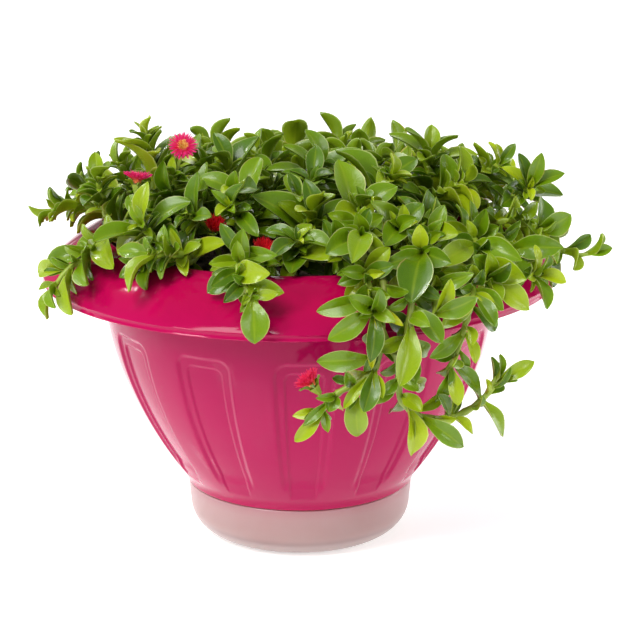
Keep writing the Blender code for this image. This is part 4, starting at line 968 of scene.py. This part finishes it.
# Pot, saucer and soil
def fine_pot_profile():
    """Up the bowl's outside, out under its brim, round the lip, back over the brim and down inside."""
    corner = POT_FOOT_EDGE - POT_FOOT_CHAMFER
    profile = [(0, POT_FOOT_Z), (corner - 4, POT_FOOT_Z), (corner, POT_FOOT_Z)]
    profile += [(corner + POT_FOOT_CHAMFER * math.sin(a), POT_FOOT_Z + POT_FOOT_CHAMFER * (1 - math.cos(a)))
                for a in (0.4, 0.8, 1.2, 1.57)]
    z = 31.5
    while z < BODY_TOP_Z:
        profile.append((bowl_radius(z), z))
        z += 0.6 if 102 < z < 117 else 2.4
    profile += [(BODY_RADIUS, z) for z in (BODY_TOP_Z, 136, 141, 149)]
    profile.append((BODY_RADIUS + 0.2, BRIM_TOP_Z - 4.6))
    for k in range(6):
        radius = BRIM_TOP_RADIUS + BRIM_WIDTH * (0.05 + 0.8 * k / 5)
        slope = brim_height(radius + 0.5) - brim_height(radius - 0.5)
        profile.append((radius, brim_height(radius) - WALL * math.hypot(1, slope)))
    inner, edge, low, top = BRIM_RADIUS - WALL, BRIM_RADIUS, BRIM_EDGE_Z, LIP_TOP_Z
    profile += [(inner, top - 0.9), (inner, low + 0.5), (inner + 0.4, low), (edge - 0.5, low),
                (edge - 0.12, low + 0.2), (edge, low + 0.6), (edge - 0.25, low + 1.05),
                (edge - 0.5, low + 1.9), (edge - 0.3, top - 0.85), (edge, top - 0.45),
                (edge - 0.06, top - 0.12), (edge - 0.35, top + 0.2)]
    for k in range(18):
        radius = BRIM_TOP_RADIUS + BRIM_WIDTH * (0.975 - 0.975 * k / 17)
        profile.append((radius, brim_height(radius)))
    profile += [(BRIM_TOP_RADIUS - 1.2, BRIM_TOP_Z + 0.05), (BRIM_TOP_RADIUS - 2.6, BRIM_TOP_Z - 0.25),
                (INSIDE_RADIUS + 0.3, BRIM_TOP_Z - 1.0), (INSIDE_RADIUS, BRIM_TOP_Z - 2.2)]
    profile += [(bowl_inside(z), z) for z in (150, 140, *INSIDE_HEIGHTS)]
    floor = POT_FOOT_Z + WALL
    return profile + [(POT_FOOT_RADIUS - 3, floor), (0, floor)]


def flute(radius, angle):
    """Depth of the faint flutes that run down the brim and fade out before its lip."""
    t = (radius - BRIM_TOP_RADIUS) / BRIM_WIDTH
    if not 0.12 < t < 0.9:
        return 0.0
    ridge = math.cos(FLUTES * (angle - ARCH_TURN) / 2) ** 16
    return FLUTE_DEPTH * ridge * smoothstep((t - 0.12) / 0.5) * (1 - smoothstep((t - 0.8) / 0.1))


def bowl_columns():
    """Compass angles of the bowl's upright edges, close together at the sides of the arches."""
    half = ARCH_HALF_ANGLE * BODY_RADIUS
    beside = [0.0, 2.5, 5.0, 7.0] + [half - 7.2 + 0.5 * k for k in range(18)]
    beside += [half + 2.6, half + 5.0, half + 8.0]
    columns = []
    for k in range(ARCH_COUNT):
        turn = ARCH_TURN + 2 * math.pi * k / ARCH_COUNT
        columns += [turn - side / BODY_RADIUS for side in beside[:0:-1]]
        columns += [turn + side / BODY_RADIUS for side in beside]
    return columns


def arch_inside(beside, z, inset):
    """Distance from a point of the bowl to the line of an arch, more than 0 on its inner side."""
    corner = ARCH_CORNER - 0.45 * inset
    x = beside - (ARCH_HALF_ANGLE * BODY_RADIUS - inset - corner)
    y = z - (ARCH_TOP_Z - inset - corner)
    return corner - math.hypot(max(x, 0.0), max(y, 0.0)) - min(max(x, y), 0.0)


def sunk(angle, z):
    """Depth of the two steps of the arches at a place on the bowl; they run out towards the foot."""
    period = 2 * math.pi / ARCH_COUNT
    beside = abs((angle - ARCH_TURN + period / 2) % period - period / 2) * BODY_RADIUS
    narrow = bowl_radius(z) / BODY_RADIUS
    depth = 0.0
    for inset, flank, step, foot in ((0.0, OUTER_FLANK, ARCH_DEPTH, ARCH_FOOT_Z),
                                     (PANEL_INSET, INNER_FLANK, PANEL_DEPTH - ARCH_DEPTH, PANEL_FOOT_Z)):
        share = smoothstep(0.5 + arch_inside(beside, z, inset) * narrow / flank)
        depth += step * share * smoothstep((z - foot) / 3)
    return depth * RELIEF


def dress_pot(look):
    """The bowl with its columns, sunk arches and flutes."""
    profile, columns = fine_pot_profile(), bowl_columns()
    count, points = len(columns), []
    for radius, z in profile[1:-1]:
        for angle in columns:
            out, height = radius, z
            if z < BODY_TOP_Z and radius > bowl_inside(z) + 1:
                out -= sunk(angle, z)
            if z > LIP_TOP_Z and radius > BRIM_TOP_RADIUS:
                height -= flute(radius, angle)
            points.append((out * math.sin(angle), -out * math.cos(angle), height))
    last = len(points)
    points += [(0, 0, profile[0][1]), (0, 0, profile[-1][1])]
    faces = ring_faces(count, len(profile) - 2, caps=False)
    faces += [(last, (j + 1) % count, j) for j in range(count)]
    faces += [(last - count + j, last - count + (j + 1) % count, last + 1) for j in range(count)]
    form = Form()
    form.add(points, faces)
    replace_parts(form.make("bowl_finished", [look], 40), "pot")


def dress_saucer(look):
    top, side = POT_FOOT_Z - TOUCH_GAP, SAUCER_TOP_RADIUS
    profile = [(0, 0), (30, 0), (SAUCER_RADIUS - SAUCER_CORNER, 0)]
    for k in range(1, 13):
        turn = math.pi / 24 * k
        profile.append((SAUCER_RADIUS - SAUCER_CORNER * (1 - math.sin(turn)),
                        SAUCER_CORNER * (1 - math.cos(turn))))
    inner = side - SAUCER_WALL - SAUCER_LEDGE
    profile += [(side - 0.5, 21), (side - 0.1, top - 1.6), (side, top - 0.5), (side - 0.3, top - 0.1),
                (side - 0.8, top), (inner, top), (inner, SAUCER_FLOOR), (0, SAUCER_FLOOR)]
    form = Form()
    form.add(*turned(profile, 128))
    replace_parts(form.make("saucer_finished", [look], 40), "saucer")


def dress_soil(look):
    draw = random.Random(SOIL_SEED)
    form = Form()
    points, faces = turned(soil_profile(SOIL_EDGE_Z - 2, range(96, -1, -3)), 120)
    form.add([(x, y, z + (draw.uniform(-0.9, 0.9) if z > SOIL_EDGE_Z - 1 else 0)) for x, y, z in points],
             faces)
    for _ in range(CRUMBS):
        x, y = around(CRUMB_REACH * math.sqrt(draw.random()), draw.uniform(0, 2 * math.pi))
        size = draw.uniform(0.7, 2.4)
        middle = Vector((x, y, soil_height(x, y) + size * 0.3))
        tilt = Quaternion((draw.uniform(-1, 1), draw.uniform(-1, 1), 1), draw.uniform(0, 3))
        crumb = []
        for ring_z, ring_r in ((-0.7, 0.7), (0.0, 1.0), (0.7, 0.65)):
            for j in range(6):
                a = math.pi / 3 * j
                spot = Vector((ring_r * math.cos(a), ring_r * math.sin(a) * 0.8, ring_z * 0.7))
                crumb.append(middle + tilt @ (spot * size * draw.uniform(0.75, 1.15)))
        form.add(crumb, ring_faces(6, 3))
    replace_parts(form.make("soil_finished", [look], 60), "soil")


# Blooms
def thin_petal(form, root, direction, side, length, width, curl, tone, closed=0.0):
    """Narrow closed petal with a soft fold, in four stretches."""
    points, places = [], []
    back = side.cross(direction).normalized()
    for t in (0, 0.25, 0.5, 0.75, 1.0):
        half = width / 2 * (0.55 + 0.45 * math.sin(math.pi * min(t * 0.9 + 0.12, 1.0)))
        half *= 1 if t < 1 else 0.35
        middle = root + direction * length * t + back * curl * t * t
        points += [middle - side * half, middle + back * 0.16, middle + side * half, middle - back * 0.16]
        places += [t] * 4
    form.add(points, ring_faces(4, 5), along=places, tone=tone, under=closed)


def dress_bloom(name, centre, facing, spread, draw, look):
    ahead, across, beside = bloom_frame(facing)
    middle = Vector(centre)
    form = Form()
    closed = 1 - smoothstep((spread - 30) / 40)
    for count, reach, steeper, width in PETAL_LAYERS:
        for k in range(count):
            turn = 2 * math.pi * (k + 0.5 * (steeper % 4)) / count + draw.uniform(-0.07, 0.07)
            lean = math.radians(max(spread - steeper * spread / 78 + draw.uniform(-6, 6), 4))
            outward = swung(across, beside, turn)
            direction = swung(ahead, outward, lean)
            root = middle + outward * (BLOOM_CUP - 0.35 - steeper * 0.03) - ahead * 0.3
            length = (BLOOM_RADIUS - BLOOM_CUP * math.sin(lean)) * reach * draw.uniform(0.9, 1.06)
            thin_petal(form, root, direction, direction.cross(ahead).normalized(),
                       length * (1.1 - 0.1 * closed), width * (0.82 + 0.18 * closed),
                       draw.uniform(-0.5, 0.5), draw.random(), closed)
    core = tube([middle - ahead * 2.0, middle - ahead * 1.0, middle + ahead * 0.3], 1.6, BLOOM_CUP, 12)
    form.add(*core, along=0.1, tone=0.3)
    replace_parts(form.make(name + "_finished", [look], 40), name)


def dress_eye(name, centre, facing, draw, look):
    ahead, across, beside = bloom_frame(facing)
    form = Form()
    for k in range(EYE_PETALS):
        radius = 1.9 * math.sqrt((k + 0.5) / EYE_PETALS)
        outward = swung(across, beside, k * GOLDEN_ANGLE)
        root = Vector(centre) + outward * radius + ahead * 0.35
        direction = (ahead + outward * 0.22 * radius + across * draw.uniform(-0.15, 0.15)).normalized()
        side = direction.orthogonal().normalized()
        thin_petal(form, root, direction, side, draw.uniform(1.8, 3.0), 0.34, 0.1, 0.5)
    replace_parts(form.make(name + "_finished", [look], 40), name)


def sepals(form, centre, facing, spread, draw):
    """Fleshy green sepals that hold a bloom."""
    ahead, across, beside = bloom_frame(facing)
    seat = Vector(centre) - ahead * (BLOOM_CORE + 1.6)
    lean = math.radians(min(spread, 62) * 0.75 + 12)
    for k in range(5):
        outward = swung(across, beside, 2 * math.pi * k / 5 + 0.4)
        start = seat + outward * 1.3
        tip = start + swung(ahead, outward, lean) * draw.uniform(5.2, 7.2)
        fine_leaf(form, {"base": start, "tip": tip, "upper": ahead - outward * 0.6, "width": 2.9}, draw, 0.45)


# Plant
def in_view_box(point):
    low, high = CAD_BOX
    return all(low[k] / MM - VIEW_MARGIN < point[k] < high[k] / MM + VIEW_MARGIN for k in range(3))


def extra_leaves(garden, name, path, draw, stations, sizes, lowest=0.0):
    """More pairs of leaves on a stem, wherever there is room for them."""
    pairs = [(station, 75 - 40 * max(station - 0.4, 0), size) for station, size in zip(stations, sizes)]
    added = []
    for station, tip, length in leaf_pairs(path, draw, pairs, 12, 0.82, 1.15):
        if math.hypot(tip.x, tip.y) > BRIM_RADIUS - 4 and tip.y > -60 and abs(tip.x) > 128:
            continue
        width = length * draw.uniform(0.4, 0.56)
        added.append(place_leaf(garden, name, path, station, tip, width, knot=station))
    return [item for item in added if item and in_view_box(item["tip"]) and item["base"].z > lowest]


def shoots(garden, draw, tips):
    """Short leafy shoots from the soil to the given tips, wherever there is room for them."""
    def leaves_on(path):
        return extra_leaves(garden, name, path, draw, SHOOT_STATIONS, SHOOT_SIZES)

    grown = {}
    for name, tip in tips:
        scale = min(1.0, (ROOT_REACH - 2) / max(math.hypot(tip.x, tip.y) * 0.72, 1e-6)) * 0.72
        plant = grow(garden, name, (tip.x * scale, tip.y * scale), tip, STEM_RADIUS, 3, leaves_on)
        if plant:
            grown[name] = plant
    return grown


def golden_tips(draw, count, phase, rise):
    """Names and tips of short shoots that are spread evenly over the pot."""
    for k in range(count):
        yield "between_%03d" % k, golden_tip(k, count, MOUND_RADIUS + 2, phase, draw.uniform(-9, 3) + rise)


def dress_plants(looks):
    garden = Garden()
    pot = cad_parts["pot"].data
    garden.add("pot", ([vert.co / MM for vert in pot.vertices], [tuple(f.vertices) for f in pot.polygons]))
    garden.add("soil", turned(soil_profile(SOIL_EDGE_Z, SOIL_RADII), SOIL_SIDES))
    for name, (_, _, centre, facing, _, _) in BLOOMS.items():
        garden.add(name, bloom_space(centre, facing))
    roots = []
    plants = shown_plants(garden, roots)
    plants.update(filler_plants(garden, roots))
    for name, leaves in MORE_LEAVES.items():
        set_leaves(garden, name, plants[name], leaves)
    draw = random.Random(EXTRA_SEED)
    for name, plant in plants.items():
        path = plant["path"]
        count = max(5, int(sum((b - a).length for a, b in zip(path, path[1:])) / EXTRA_SPACING))
        stations = [0.33 + 0.67 * k / (count - 1) for k in range(count)]
        sizes = [18 - 7 * max(0.0, station - 0.6) / 0.4 for station in stations]
        plant["leaves"] += extra_leaves(garden, name, path, draw, stations, sizes)
    between = shoots(garden, draw, golden_tips(draw, *BETWEEN_SHOOTS))
    low = shoots(garden, draw, golden_tips(draw, *LOW_SHOOTS))
    low.update(shoots(garden, draw, (("front_%d" % k, Vector(tip)) for k, tip in enumerate(FRONT_SHOOTS))))
    young = random.Random(EXTRA_SEED + 2)
    for group in (plants, between, low):
        for name, plant in group.items():
            plant["leaves"] += extra_leaves(garden, name, plant["path"], young, YOUNG_STATIONS, YOUNG_SIZES,
                                            YOUNG_LOWEST)
    for name, plant in plants.items():
        form = Form()
        add_plant(form, plant, draw, FRONT_PAINTED_LIGHT)
        for shape in stalk_shapes(name, plant["path"]):
            form.add(*shape, 1, along=0.8, tone=0.6)
        for carrier, _, centre, facing, spread, _ in BLOOMS.values():
            if carrier == name:
                sepals(form, centre, facing, spread, draw)
        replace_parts(form.make(name + "_finished", looks), name)
    for label, group in (("between", between), ("low", low)):
        form = Form()
        for plant in group.values():
            add_plant(form, plant, draw, INNER_PAINTED_SHADE)
        form.make("foliage_" + label, looks)


# Light and camera
def make_studio():
    """White room: an even sky, one broad soft sun from the upper left and soft boxes around the part."""
    world = bpy.data.worlds.new("studio")
    bpy.context.scene.world = world
    world.use_nodes = True
    sky = world.node_tree.nodes["Background"].inputs
    sky["Color"].default_value = (1.0, 1.0, 1.0, 1)
    sky["Strength"].default_value = SKY_STRENGTH
    data = bpy.data.lights.new("sun", "SUN")
    data.energy = SUN_STRENGTH
    data.angle = SUN_BREADTH
    linked("sun", data).rotation_euler = SUN_TURN
    for name, (place, aim, size, energy) in SOFT_BOXES.items():
        data = bpy.data.lights.new(name, "AREA")
        data.shape = "RECTANGLE"
        data.size, data.size_y = size
        data.energy = energy
        box = linked(name, data)
        box.location = place
        box.rotation_mode = "QUATERNION"
        box.rotation_quaternion = (Vector((0, 0, aim)) - Vector(place)).to_track_quat("-Z", "Y")
    mesh = bpy.data.meshes.new("floor")
    mesh.from_pydata([(x * FLOOR_REACH, y * FLOOR_REACH, 0) for x, y in ((-1, -1), (1, -1), (1, 1), (-1, 1))],
                     [], [(0, 1, 2, 3)])
    mesh.materials.append(floor_material())
    floor = linked("floor", mesh)
    bpy.context.scene.view_settings.view_transform = "Standard"


def make_camera():
    data = bpy.data.cameras.new("camera")
    data.sensor_width = SENSOR
    data.lens = SENSOR * FOCAL_PIXELS / PHOTO_PIXELS
    data.clip_start, data.clip_end = 0.05, 60
    camera = linked("camera", data)
    camera.location = CAMERA_PLACE
    camera.rotation_euler = CAMERA_TURN
    bpy.context.scene.camera = camera


def main():
    dress_pot(pot_material())
    dress_saucer(saucer_material())
    dress_soil(soil_material())
    dress_plants([leaf_material(), stem_material()])
    draw = random.Random(EXTRA_SEED + 1)
    petal, stamen = petal_material(), stamen_material()
    for name, (_, _, centre, facing, spread, has_eye) in BLOOMS.items():
        dress_bloom(name, centre, facing, spread, draw, petal)
        if has_eye:
            dress_eye(name + "_eye", centre, facing, draw, stamen)
    make_studio()
    make_camera()


main()
